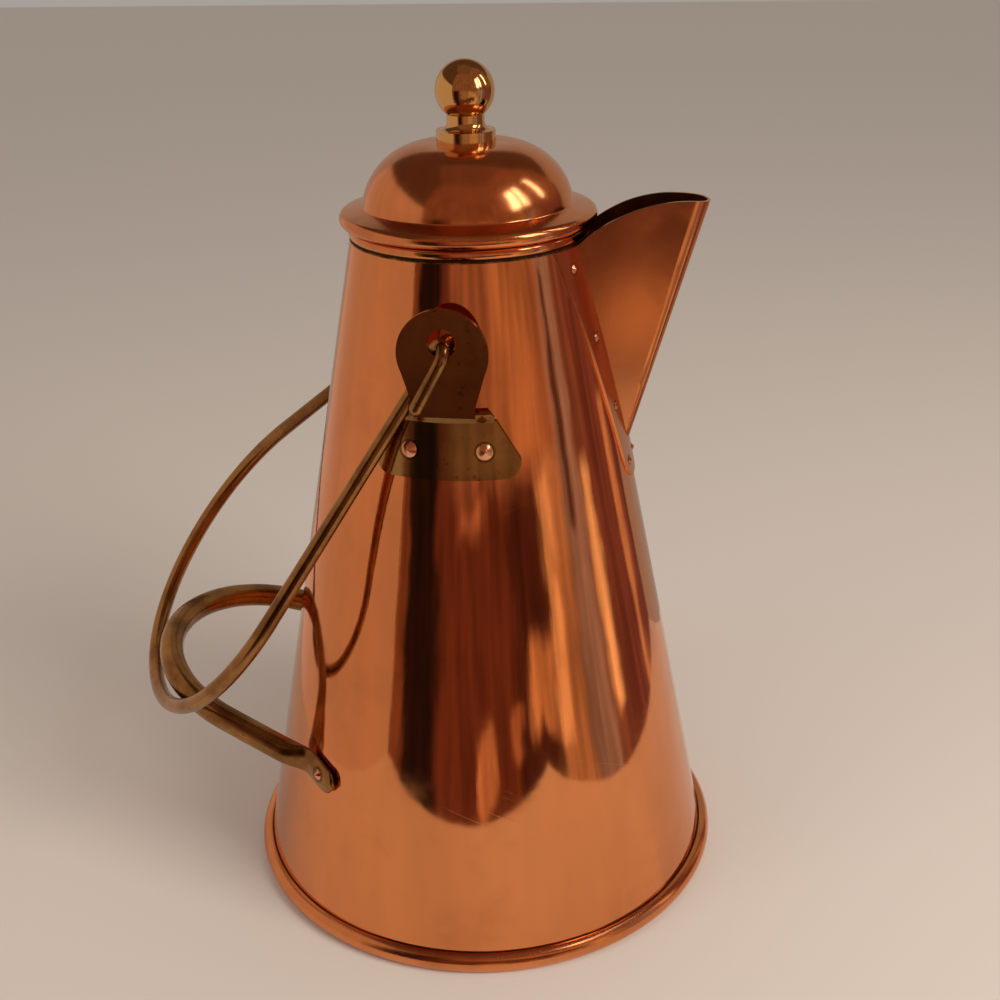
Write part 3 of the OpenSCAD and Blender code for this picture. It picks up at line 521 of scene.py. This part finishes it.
# What glows on the dark screens. Each entry: bearings from and to in degrees (0 is the front, 90 the
# spout's side), heights from and to in metres, the light, and how softly it ends in degrees. Later
# entries lie on top. GROUND is below the floor, so a glow from there has no lower end.
GROUND = -1.0
GLOWS = (
    (-60, -32, GROUND, 0.600, (0.200, 0.090, 0.055), 2.0),
    (-14, 29, GROUND, 0.600, (0.140, 0.050, 0.034), 2.5),
    (29, 48, GROUND, 0.600, (0.080, 0.030, 0.025), 2.5),
    (-6, 70, 0.160, 0.300, (0.340, 0.185, 0.120), 5.0),
    (24, 56, 0.175, 0.280, (0.500, 0.290, 0.175), 4.0),
    (8, 15, 0.006, 0.052, (0.560, 0.320, 0.200), 1.5),
    (24, 30, 0.024, 0.050, (0.420, 0.210, 0.130), 1.5),
    (-1, 15, 0.142, 0.152, (0.500, 0.260, 0.180), 3.0),
    (49, 66, GROUND, 0.170, (0.480, 0.310, 0.200), 3.0),
    (35, 49, 0.024, 0.072, (0.660, 0.400, 0.240), 2.5),
    (50, 56, 0.020, 0.160, (0.880, 0.640, 0.410), 2.0),
    (66, 82, GROUND, 0.300, (0.340, 0.290, 0.330), 3.5),
    (69, 73, 0.130, 0.260, (0.130, 0.065, 0.062), 1.5),
    (80, 94, GROUND, 0.300, (0.220, 0.110, 0.095), 2.5),
    (82, 90, 0.035, 0.150, (0.950, 0.770, 0.540), 2.0),
    (90, 130, GROUND, 0.300, (0.180, 0.075, 0.070), 3.0),
    (112, 118, GROUND, 0.160, (0.600, 0.370, 0.220), 2.5),
    (-60, 130, 0.300, 2.000, (0.230, 0.110, 0.070), 6.0),
)
METRES_PER_DEGREE = 0.003  # turns a glow's softness into one for its heights
SCREEN_DARK = (0.022, 0.0125, 0.012)
WINDOW = ((58, 68), (72, 78), (98, 103))  # the window's panes, by their bearings in degrees
WINDOW_HEIGHTS = (0.34, 0.50)
WINDOW_LIGHT = (5.0, 4.8, 4.6)


def screen_wall(name):
    """A dark screen with soft, wavy glows, and a window high on the right."""
    r = Recipe(name)
    forward = r.math("MULTIPLY", r.axis("Y"), -1.0)
    bearing = r.math("MULTIPLY", r.math("ARCTAN2", r.axis("X"), forward), math.degrees(1))
    height = r.axis("Z")
    # the noise lies round 0.5, so 9 degrees and 40 mm of it are halved to either side
    wavy_bearing = r.math("ADD", bearing, r.math("MULTIPLY_ADD", r.cloud("wavy bearing"), 9.0, -4.5))
    wavy_height = r.math("ADD", height, r.math("MULTIPLY_ADD", r.cloud("wavy height"), 0.04, -0.02))
    light = SCREEN_DARK
    for start, end, low, high, tint, soft in GLOWS:
        level = r.between(wavy_height, low, high, soft * METRES_PER_DEGREE)
        share = r.math("MULTIPLY", r.between(wavy_bearing, start, end, soft), level)
        light = r.mix(share, light, tint)
    streak = r.add("ShaderNodeCombineXYZ", {
        "X": r.math("MULTIPLY", bearing, 0.22), "Y": r.math("MULTIPLY", height, 9.0)}).outputs[0]
    light = r.scaled(light, r.ramp(r.noise(streak, 1.0, 2, 0.5), 0.30, 0.70, 0.72, 1.30))
    pane = r.between(height, *WINDOW_HEIGHTS, 0.015)
    for start, end in WINDOW:
        light = r.mix(r.math("MULTIPLY", r.between(bearing, start, end, 1.5), pane), light, WINDOW_LIGHT)
    return r.glow(light)


def pale_wall(light):
    """A maker of pale walls with that light, which end at PALE_TOP in a dim room."""

    def make(name):
        r = Recipe(name)
        share = r.ramp(r.axis("Z"), PALE_TOP - 10 * MM, PALE_TOP + 10 * MM, 1.0, 0.0)
        return r.glow(r.mix(share, (0.10, 0.055, 0.038), light))

    return make


def dim_wall(name):
    return Recipe(name).glow((0.170, 0.090, 0.060, 1))


# Each wall of the tent: which of its eight corners it joins (four at the foot, then four at the top, each
# four counter-clockwise from the front left) and what makes its light.
TENT = {
    "tent_front": ((0, 1, 5, 4), screen_wall),
    "tent_right": ((1, 2, 6, 5), screen_wall),
    "tent_back": ((2, 3, 7, 6), pale_wall((0.36, 0.29, 0.23))),
    "tent_left": ((3, 0, 4, 7), pale_wall((0.54, 0.40, 0.31))),
    "tent_top": ((4, 5, 6, 7), dim_wall),
}


def reflecting_tent():
    """Pale walls left and behind and dark screens with glows in front and right.
    Only mirror reflections see them, so they shade nothing."""
    (x0, y0), (x1, y1) = TENT_LOW, TENT_HIGH
    corners = [(x, y, z) for z in (TENT_FOOT, TENT_TOP) for x, y in ((x0, y0), (x1, y0), (x1, y1), (x0, y1))]
    for name, (face, light) in TENT.items():
        wall = new_object(name, [corners[i] for i in face], [(0, 1, 2, 3)])
        wall.data.materials.append(light(name))
        for kind in ("camera", "diffuse", "shadow", "transmission", "volume_scatter"):
            setattr(wall, "visible_" + kind, False)


def linked(name, data):
    """A new object with that data, in the scene."""
    obj = bpy.data.objects.new(name, data)
    bpy.context.scene.collection.objects.link(obj)
    return obj


def new_object(name, points, faces):
    mesh = bpy.data.meshes.new(name)
    mesh.from_pydata(points, [], faces)
    mesh.update()
    return linked(name, mesh)


def soft_lamp(name, place, target, size, power):
    """A square area lamp that looks at target."""
    data = bpy.data.lights.new(name, "AREA")
    data.size = size
    data.energy = power
    data.color = LAMP_TINT
    lamp = linked(name, data)
    way = Vector(target) - Vector(place)
    lamp.matrix_world = Matrix.Translation(place) @ way.to_track_quat("-Z", "Y").to_matrix().to_4x4()
    lamp.visible_glossy = False


class POT_OT_body(Step):
    """Polished copper body, base bead, mouth bead and spout"""

    bl_idname = "pot.body"
    bl_label = "Body"

    def make(self, context):
        s = finish_settings()
        rim_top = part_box("base_rim")[1]
        body_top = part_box("body_shell")[1]
        spout_heads = rivet_heads("spout_rivets")

        body = SheetCopper("body_copper")
        # painted shade and dirt in the crease at the base bead's top and under the body's top edge, and round
        # the spout's rivets
        body.crease_shade_and_dirt_band(rim_top.z - 1 * MM, rim_top.z + 0.05 * MM)
        body.crease_shade_and_dirt_band(body_top.z - 0.3 * MM, body_top.z)
        body.rivet_shade_and_dirt(spout_heads)
        body.lined(0.0, s.tin)
        coat("body_shell", body.polished())

        bead = SheetCopper("bead_copper", film=0.4, rough=0.14)
        # painted shade and dirt along the seam with the body
        bead.seam_shade_and_dirt(0.5 * MM)
        bead.nicked_edge(rim_top.x - 2.2 * MM)
        coat("base_rim", bead.polished(spun=True))

        mouth = SheetCopper("mouth_copper", film=0.5, rough=0.05)
        # painted shade and dirt along the seam with the body
        mouth.seam_shade_and_dirt(0.35 * MM)
        mouth.lined(0.0, s.tin)
        coat("mouth_ring", mouth.polished(spun=True))

        spout = SheetCopper("spout_copper", film=0.35, rough=0.12)
        # painted shade and dirt round the spout's rivets
        spout.rivet_shade_and_dirt(spout_heads)
        # dark colour on the spout's inner faces
        spout.lined(SPOUT_HOLLOW, s.spout_inside_dark)
        coat("spout", spout.polished(dents=0.8))

        coat("base_plate", dull_metal("floor_copper", s.tarnish, s.crease_dirt_and_shade))
        coat("base_wire", dull_metal("iron", s.iron, s.crease_dirt_and_shade))


# ---- rivets ------------------------------------------------------------


def cone():
    """The body's outer side as a straight line: its radius at height 0 and how much it narrows per metre."""
    points = [v.co for v in NODES["body_shell"].data.vertices]
    top = max(p.z for p in points)
    foot = max(points, key=lambda p: p.to_2d().length)
    mouth = max((p for p in points if p.z > top - 0.01 * MM), key=lambda p: p.to_2d().length)
    slope = (foot.to_2d().length - mouth.to_2d().length) / (mouth.z - foot.z)
    return foot.to_2d().length + slope * foot.z, slope


RIVET_GROUPS = {
    "spout_rivets": "rivets_spout", "ear_rivets_right": "rivets_ear_right",
    "ear_rivets_left": "rivets_ear_left", "tipping_handle_rivets": "rivets_handle",
}
MERGE = 0.001 * MM
ON_RIM = 0.985  # share of a head's radius past which a point counts as on its rim


def rivet_islands(node):
    """The separate rivets of a CAD node, each as a list of its points."""
    work = bmesh.new()
    work.from_mesh(NODES[node].data)
    bmesh.ops.remove_doubles(work, verts=work.verts, dist=MERGE)
    left, islands = set(work.verts), []
    while left:
        queue, island = [left.pop()], []
        while queue:
            vert = queue.pop()
            island.append(vert.co.copy())
            for edge in vert.link_edges:
                other = edge.other_vert(vert)
                if other in left:
                    left.remove(other)
                    queue.append(other)
        islands.append(island)
    work.free()
    return islands


def rivet_measure(points):
    """Centre, outward axis, head radius, grip between the heads, and dome height of one rivet.
    Every rivet stands square on the body's cone."""
    middle = sum(points, Vector()) / len(points)
    taper = math.atan(cone()[1])
    level = Vector((middle.x, middle.y, 0)).normalized()
    axis = math.cos(taper) * level + Vector((0, 0, math.sin(taper)))
    around = Vector((-level.y, level.x, 0))
    up = axis.cross(around)

    def span(way):
        along = [(p - middle).dot(way) for p in points]
        return min(along), max(along)

    centre = middle + sum((sum(span(way)) / 2 * way for way in (around, up)), Vector())
    head = (span(around)[1] - span(around)[0]) / 2
    rims = [(p - centre).dot(axis) for p in points if (p - centre).cross(axis).length > ON_RIM * head]
    grip = max(rims) - min(rims)
    dome = (span(axis)[1] - span(axis)[0] - grip) / 2
    return centre + (max(rims) + min(rims)) / 2 * axis, axis, head, grip, dome


def rivet_heads(node):
    """Centre and radius of the outer head of each rivet in a CAD node."""
    heads = []
    for points in rivet_islands(node):
        centre, axis, head, grip, _ = rivet_measure(points)
        heads.append((centre + axis * grip / 2, head))
    return heads


class GeometryRecipe:
    """A geometry node tree with short ways to add to it."""

    def __init__(self, name, inputs):
        """inputs are (name, default) for numbers; a Material input follows them."""
        self.tree = bpy.data.node_groups.new(name, "GeometryNodeTree")
        face = self.tree.interface
        face.new_socket("Geometry", in_out="OUTPUT", socket_type="NodeSocketGeometry")
        face.new_socket("Geometry", in_out="INPUT", socket_type="NodeSocketGeometry")
        for key, default in inputs:
            socket = face.new_socket(key, in_out="INPUT", socket_type="NodeSocketFloat")
            socket.default_value = default
        face.new_socket("Material", in_out="INPUT", socket_type="NodeSocketMaterial")
        self.given = self.add("NodeGroupInput").outputs

    def add(self, kind, inputs=(), **settings):
        node = self.tree.nodes.new(kind)
        for key, value in settings.items():
            setattr(node, key, value)
        for key, value in dict(inputs).items():
            if isinstance(value, bpy.types.NodeSocket):
                self.tree.links.new(value, node.inputs[key])
            else:
                node.inputs[key].default_value = value
        return node

    def calc(self, operation, a, b=0.0):
        return self.add("ShaderNodeMath", {0: a, 1: b}, operation=operation).outputs[0]

    def either(self, share, a, b):
        """a where share is 1, b where it is 0."""
        rest = self.calc("SUBTRACT", 1.0, share)
        return self.calc("ADD", self.calc("MULTIPLY", share, a), self.calc("MULTIPLY", rest, b))


RIVET_RINGS = 21  # from the tip of one head to the tip of the other
RIVET_SIDES = 24
SHANK_TO = 0.15  # share of the way from the middle ring to the last at which the head starts
RIM_AT = 0.2  # and at which the head's rim lies
SHANK_FROM = 0.05  # rings closer to the middle than this are the shank's middle one
SHANK_REACH = 0.49  # share of the grip: the shank's end rings lie just inside the heads


def rivet_profile(g):
    """A line along Z whose radius follows a rivet: a dome, its rim, the shank, a rim and a dome."""
    line = g.add("GeometryNodeCurvePrimitiveLine", {"End": (0, 0, 1)})
    line = g.add("GeometryNodeResampleCurve", {"Curve": line.outputs[0], "Count": RIVET_RINGS})
    place = g.add("GeometryNodeSplineParameter").outputs["Factor"]
    along = g.calc("SUBTRACT", g.calc("MULTIPLY", place, 2.0), 1.0)
    out = g.calc("ABSOLUTE", along)
    on_dome = g.calc("GREATER_THAN", out, SHANK_TO)
    past_rim = g.calc("MAXIMUM", g.calc("SUBTRACT", out, RIM_AT), 0.0)
    turn = g.calc("MULTIPLY", past_rim, math.pi / 2 / (1 - RIM_AT))
    dome_r = g.calc("MULTIPLY", g.given["Head Radius"], g.calc("COSINE", turn))
    rise = g.calc("MULTIPLY", g.given["Dome Height"], g.calc("SINE", turn))
    dome_z = g.calc("ADD", g.calc("MULTIPLY", g.given["Grip"], 0.5), rise)
    shank_z = g.calc("MULTIPLY", g.given["Grip"], SHANK_REACH)
    shank_z = g.calc("MULTIPLY", shank_z, g.calc("GREATER_THAN", out, SHANK_FROM))
    z = g.calc("MULTIPLY", g.calc("SIGN", along), g.either(on_dome, dome_z, shank_z))
    spot = g.add("ShaderNodeCombineXYZ", {"Z": z}).outputs[0]
    line = g.add("GeometryNodeSetPosition", {"Geometry": line.outputs[0], "Position": spot})
    radius = g.either(on_dome, dome_r, g.given["Shank Radius"])
    return g.add("GeometryNodeSetCurveRadius", {"Curve": line.outputs[0], "Radius": radius})


def rivet_tree():
    """Geometry nodes: a two-headed rivet on every point, along the point's attribute 'out'."""
    g = GeometryRecipe("rivets", (
        ("Head Radius", 2 * MM), ("Dome Height", 1 * MM), ("Shank Radius", 1 * MM), ("Grip", 2 * MM),
        ("Dents", 0.1 * MM), ("Seed", 1.0)))
    profile = rivet_profile(g)
    ring = g.add("GeometryNodeCurvePrimitiveCircle", {"Resolution": RIVET_SIDES, "Radius": 1.0})
    rivet = g.add("GeometryNodeCurveToMesh", {
        "Curve": profile.outputs[0], "Profile Curve": ring.outputs[0],
        "Scale": g.add("GeometryNodeInputRadius").outputs[0]})
    axis = g.add("GeometryNodeInputNamedAttribute", {"Name": "out"}, data_type="FLOAT_VECTOR")
    turned = g.add("FunctionNodeAlignRotationToVector", {"Vector": axis.outputs["Attribute"]}, axis="Z")
    placed = g.add("GeometryNodeInstanceOnPoints", {
        "Points": g.given["Geometry"], "Instance": rivet.outputs[0], "Rotation": turned.outputs[0]})
    real = g.add("GeometryNodeRealizeInstances", {"Geometry": placed.outputs[0]})
    closed = g.add("GeometryNodeMergeByDistance", {"Geometry": real.outputs[0], "Distance": 2 * MERGE})
    rough = g.add("ShaderNodeTexNoise", {"Scale": 520.0, "Detail": 1.0, "W": g.given["Seed"]},
                  noise_dimensions="4D")
    dent = g.calc("MULTIPLY", g.calc("SUBTRACT", rough.outputs["Fac"], 0.5), g.given["Dents"])
    push = g.add("ShaderNodeVectorMath", {0: g.add("GeometryNodeInputNormal").outputs[0]}, operation="SCALE")
    g.tree.links.new(dent, push.inputs["Scale"])
    dented = g.add("GeometryNodeSetPosition", {"Geometry": closed.outputs[0], "Offset": push.outputs[0]})
    smooth = g.add("GeometryNodeSetShadeSmooth", {"Geometry": dented.outputs[0]})
    coated = g.add("GeometryNodeSetMaterial", {
        "Geometry": smooth.outputs[0], "Material": g.given["Material"]})
    g.tree.links.new(coated.outputs[0], g.add("NodeGroupOutput").inputs[0])
    return g.tree


def baked(obj, tree, inputs):
    """Runs a geometry tree on obj once and leaves the plain mesh."""
    modifier = obj.modifiers.new("build", "NODES")
    modifier.node_group = tree
    names = {item.name: item.identifier for item in tree.interface.items_tree if item.in_out == "INPUT"}
    for name, value in inputs.items():
        modifier[names[name]] = value
    bpy.context.view_layer.update()
    result = bpy.data.meshes.new_from_object(obj.evaluated_get(bpy.context.evaluated_depsgraph_get()))
    obj.modifiers.remove(modifier)
    obj.data = result
    return obj


class POT_OT_rivets(Step):
    """Hammered copper rivets on the spout, ears and handle"""

    bl_idname = "pot.rivets"
    bl_label = "Rivets"

    def make(self, context):
        s = finish_settings()
        tree = rivet_tree()
        copper = RodBrass("rivet_copper", s.rivet, s.tarnish, 0.20, 0.35).done()
        for seed, (node, name) in enumerate(RIVET_GROUPS.items()):
            rivets = [rivet_measure(points) for points in rivet_islands(node)]
            points = new_object(name, [r[0] for r in rivets], [])
            axes = points.data.attributes.new("out", "FLOAT_VECTOR", "POINT")
            for i, rivet in enumerate(rivets):
                axes.data[i].vector = rivet[1]
            head, grip, dome = (sum(r[k] for r in rivets) / len(rivets) for k in (2, 3, 4))
            baked(points, tree, {
                "Head Radius": head, "Dome Height": dome, "Shank Radius": head * 0.5, "Grip": grip,
                "Dents": head * 0.05, "Seed": seed * 3.7, "Material": copper})
            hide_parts(node)
            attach(points, "pot")


# ---- tipping handle ----------------------------------------------------


class HandleLine:
    """Middle line of the tipping handle's +Y half, from the paddle's tip to the bow's middle.
    Each stretch gives (point, half width, half thickness, direction of the thickness). The direction is
    None where the rod is round."""

    def __init__(self, h):
        self.h = h
        self.base, self.slope = cone()
        self.taper = math.atan(self.slope)
        self.origin = Vector((self.slope * h.height + h.inset - self.base, 0, h.height))
        self.climb = Vector((-math.cos(h.rise), 0, math.sin(h.rise)))
        # the leg is the line from its start that touches the bow's circle
        reach = math.hypot(h.loop_out, h.leg_half)
        self.half_turn = math.atan2(h.leg_half, -h.loop_out) - math.acos(h.loop / reach)
        self.bow_start = self.on_bow(self.half_turn)
        self.leg_dir = (self.bow_start - self.in_plane(0, h.leg_half)).normalized()
        self.leg_foot = self.in_plane(0, h.leg_half) + h.leg_start * self.leg_dir
        self.lay_paddle()

    def in_plane(self, u, v):
        """The point u up the handle's climb and v across it."""
        return self.origin + u * self.climb + v * Vector((0, 1, 0))

    def on_bow(self, t):
        return self.in_plane(self.h.loop_out + self.h.loop * math.cos(t), self.h.loop * math.sin(t))

    def lay_paddle(self):
        """Finds the rivet, the way the paddle runs and the way it faces. It lies on the cone."""
        h, tilt = self.h, self.taper
        side, back = math.sin(h.turn), math.cos(h.turn)
        z = h.height + h.rivet_up
        radius = self.base - self.slope * z
        self.rivet = Vector((-radius * back, radius * side, z))
        round_dir = Vector((-side, -back, 0))
        up_dir = Vector((back * math.sin(tilt), -side * math.sin(tilt), math.cos(tilt)))
        self.facing = Vector((-back * math.cos(tilt), side * math.cos(tilt), math.sin(tilt)))
        lean = math.atan2(self.leg_dir.dot(up_dir), self.leg_dir.dot(round_dir))
        self.along = math.cos(lean) * round_dir + math.sin(lean) * up_dir

    def on_paddle(self, d):
        """The point d past the rivet towards the leg, in the middle of the paddle's thickness."""
        flat = self.rivet + d * self.along
        radius = self.base - self.slope * flat.z + self.h.paddle / 2 / math.cos(self.taper)
        return (flat.to_2d().normalized() * radius).to_3d() + Vector((0, 0, flat.z))

    def paddle(self, steps=14):
        """Flat, with a round tip: its width follows half a circle there and its thickness fades."""
        h = self.h
        for i in range(steps + 1):
            d = -h.paddle_end + (h.paddle_end + h.paddle_back) * (i / steps) ** 1.6
            into = min(1.0, (d + h.paddle_end) / h.paddle_half)
            width = h.paddle_half * math.sqrt(max(0.0, 1 - (1 - into) ** 2))
            thin = h.paddle / 2 * (0.55 + 0.45 * min(1.0, into * 3))
            yield self.on_paddle(d), max(width, 0.2 * MM), thin, self.facing

    def neck(self, steps=8):
        """From the flat paddle to the round rod."""
        h = self.h
        start = self.on_paddle(h.paddle_back)
        for i in range(1, steps + 1):
            t = i / steps
            swell = t * t * (3 - 2 * t)
            wide = h.paddle_half + (h.rod - h.paddle_half) * swell
            thin = h.paddle / 2 + (h.rod - h.paddle / 2) * swell
            yield start.lerp(self.leg_foot, t), wide, thin, self.facing

    def leg(self, steps=10):
        for i in range(1, steps + 1):
            yield self.leg_foot.lerp(self.bow_start, i / steps), self.h.rod, self.h.rod, None

    def bow(self, steps=32):
        for i in range(1, steps + 1):
            yield self.on_bow(self.half_turn * (1 - i / steps)), self.h.rod, self.h.rod, None

    def half(self):
        return [*self.paddle(), *self.neck(), *self.leg(), *self.bow()]

    def whole(self):
        """Both halves, from one paddle's tip to the other's."""
        half = self.half()
        flip = Matrix.Diagonal((1, -1, 1))
        other = [
            (flip @ point, wide, thin, None if way is None else flip @ way)
            for point, wide, thin, way in half[:-1]]
        return half + other[::-1]


def swept(name, line, sides, power, easing=3):
    """A closed skin round a middle line of (point, half width, half thickness, thickness direction)."""
    points = [Vector(entry[0]) for entry in line]
    for _ in range(easing):  # softens the corners between the straight runs
        inner = [(a + 2 * b + c) / 4 for a, b, c in zip(points, points[1:], points[2:])]
        points = [points[0], *inner, points[-1]]
    mesh = bmesh.new()
    rings, thick = [], None
    for i, (_, wide, thin, wish) in enumerate(line):
        tangent = (points[min(i + 1, len(points) - 1)] - points[max(i - 1, 0)]).normalized()
        thick = Vector(wish) if wish is not None else thick
        thick = (thick - thick.dot(tangent) * tangent).normalized()
        broad = tangent.cross(thick)
        ring = []
        for k in range(sides):
            c, n = (f(2 * math.pi * k / sides) for f in (math.cos, math.sin))
            c, n = (math.copysign(abs(v) ** (2 / power), v) for v in (c, n))
            ring.append(mesh.verts.new(points[i] + wide * c * broad + thin * n * thick))
        rings.append(ring)
    for low, high in zip(rings, rings[1:]):
        for k in range(sides):
            mesh.faces.new((low[k], low[(k + 1) % sides], high[(k + 1) % sides], high[k]))
    for ring, order in ((rings[0], -1), (rings[-1], 1)):
        mesh.faces.new(ring[::order])
    bmesh.ops.recalc_face_normals(mesh, faces=mesh.faces)
    for face in mesh.faces:
        face.smooth = True
    data = bpy.data.meshes.new(name)
    mesh.to_mesh(data)
    mesh.free()
    return linked(name, data)


def hammered(obj, depth, size, seed):
    """Moves the skin in by soft facets, as a hammer leaves them. Nothing moves outwards."""
    mesh = bmesh.new()
    mesh.from_mesh(obj.data)
    mesh.normal_update()
    for vert in mesh.verts:
        dip = 0.5 + 0.5 * noise.noise(vert.co / size + Vector((seed, 0, 0)))
        dip += 0.35 * (0.5 + 0.5 * noise.noise(vert.co / size * 2.7 + Vector((0, seed, 0))))
        vert.co -= vert.normal * depth * dip
    mesh.to_mesh(obj.data)
    mesh.free()


class POT_OT_handle(Step):
    """Tipping handle: one bent rod, drawn out flat at both ends"""

    bl_idname = "pot.handle"
    bl_label = "Tipping handle"

    def make(self, context):
        s = finish_settings()
        h = context.scene.pot_handle
        handle = swept("tipping_handle_rod", HandleLine(h).whole(), sides=32, power=2.2)
        hammered(handle, h.hammer, size=7 * MM, seed=4.2)
        brass = RodBrass("handle_brass", s.brass, s.brass_film, 0.20)
        # painted shade and dirt round the handle's rivets
        brass.rivet_shade_and_dirt(rivet_heads("tipping_handle_rivets"))
        handle.data.materials.append(brass.done())
        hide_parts("tipping_handle")
        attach(handle, "pot")


# ---- fittings and lid --------------------------------------------------


class POT_OT_fittings(Step):
    """Ears and bail"""

    bl_idname = "pot.fittings"
    bl_label = "Fittings"

    def make(self, context):
        s = finish_settings()
        for side in ("right", "left"):
            ear = RodBrass("ear_brass_" + side, s.ear_brass, s.brass_film, 0.10, 0.45)
            # painted shade and dirt round the ear's rivets
            ear.rivet_shade_and_dirt(rivet_heads("ear_rivets_" + side))
            coat("ear_" + side, ear.done())
        coat("bail", RodBrass("rod_brass", s.brass, s.brass_film, 0.20).done())


class POT_OT_lid(Step):
    """Lid, knob and what holds it"""

    bl_idname = "pot.lid"
    bl_label = "Lid"

    def make(self, context):
        s = finish_settings()
        lid = SheetCopper("lid_copper", film=0.35, rough=0.11)
        lid.nicked_edge(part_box("lid_shell")[1].x - 1.6 * MM)
        coat("lid_shell", lid.polished(spun=True))
        coat("lid_skirt", dull_metal("skirt_copper", s.tarnish, s.crease_dirt_and_shade))
        coat("knob", RodBrass("knob_brass", s.knob_brass, s.brass, 0.06, 0.30).done())
        iron = bpy.data.materials["iron"]
        coat("lid_wire", iron)
        coat("knob_screw", iron)
        coat("knob_washer", dull_metal("washer_copper", s.tarnish, s.crease_dirt_and_shade))


class POT_PT_panel(bpy.types.Panel):
    """The pot's steps and settings"""

    bl_label = "Coffee Pot"
    bl_space_type = "VIEW_3D"
    bl_region_type = "UI"
    bl_category = "Coffee Pot"

    def draw(self, context):
        for step in STEPS:
            self.layout.operator(step.bl_idname)
        for name, group in SETTINGS.items():
            box = self.layout.box()
            for key in group.__annotations__:
                box.prop(getattr(context.scene, name), key)


STEPS = (POT_OT_camera, POT_OT_studio, POT_OT_body, POT_OT_rivets, POT_OT_handle,
         POT_OT_fittings, POT_OT_lid)
CLASSES = (*SETTINGS.values(), *STEPS, POT_PT_panel)


def register():
    for cls in CLASSES:
        bpy.utils.register_class(cls)
    for name, group in SETTINGS.items():
        setattr(bpy.types.Scene, name, PointerProperty(type=group))


def unregister():
    for name in SETTINGS:
        delattr(bpy.types.Scene, name)
    for cls in reversed(CLASSES):
        bpy.utils.unregister_class(cls)


def main():
    """Dresses the pot."""
    register()
    for step in STEPS:
        area, action = step.bl_idname.split(".")
        getattr(getattr(bpy.ops, area), action)()


if __name__ == "__main__":
    main()
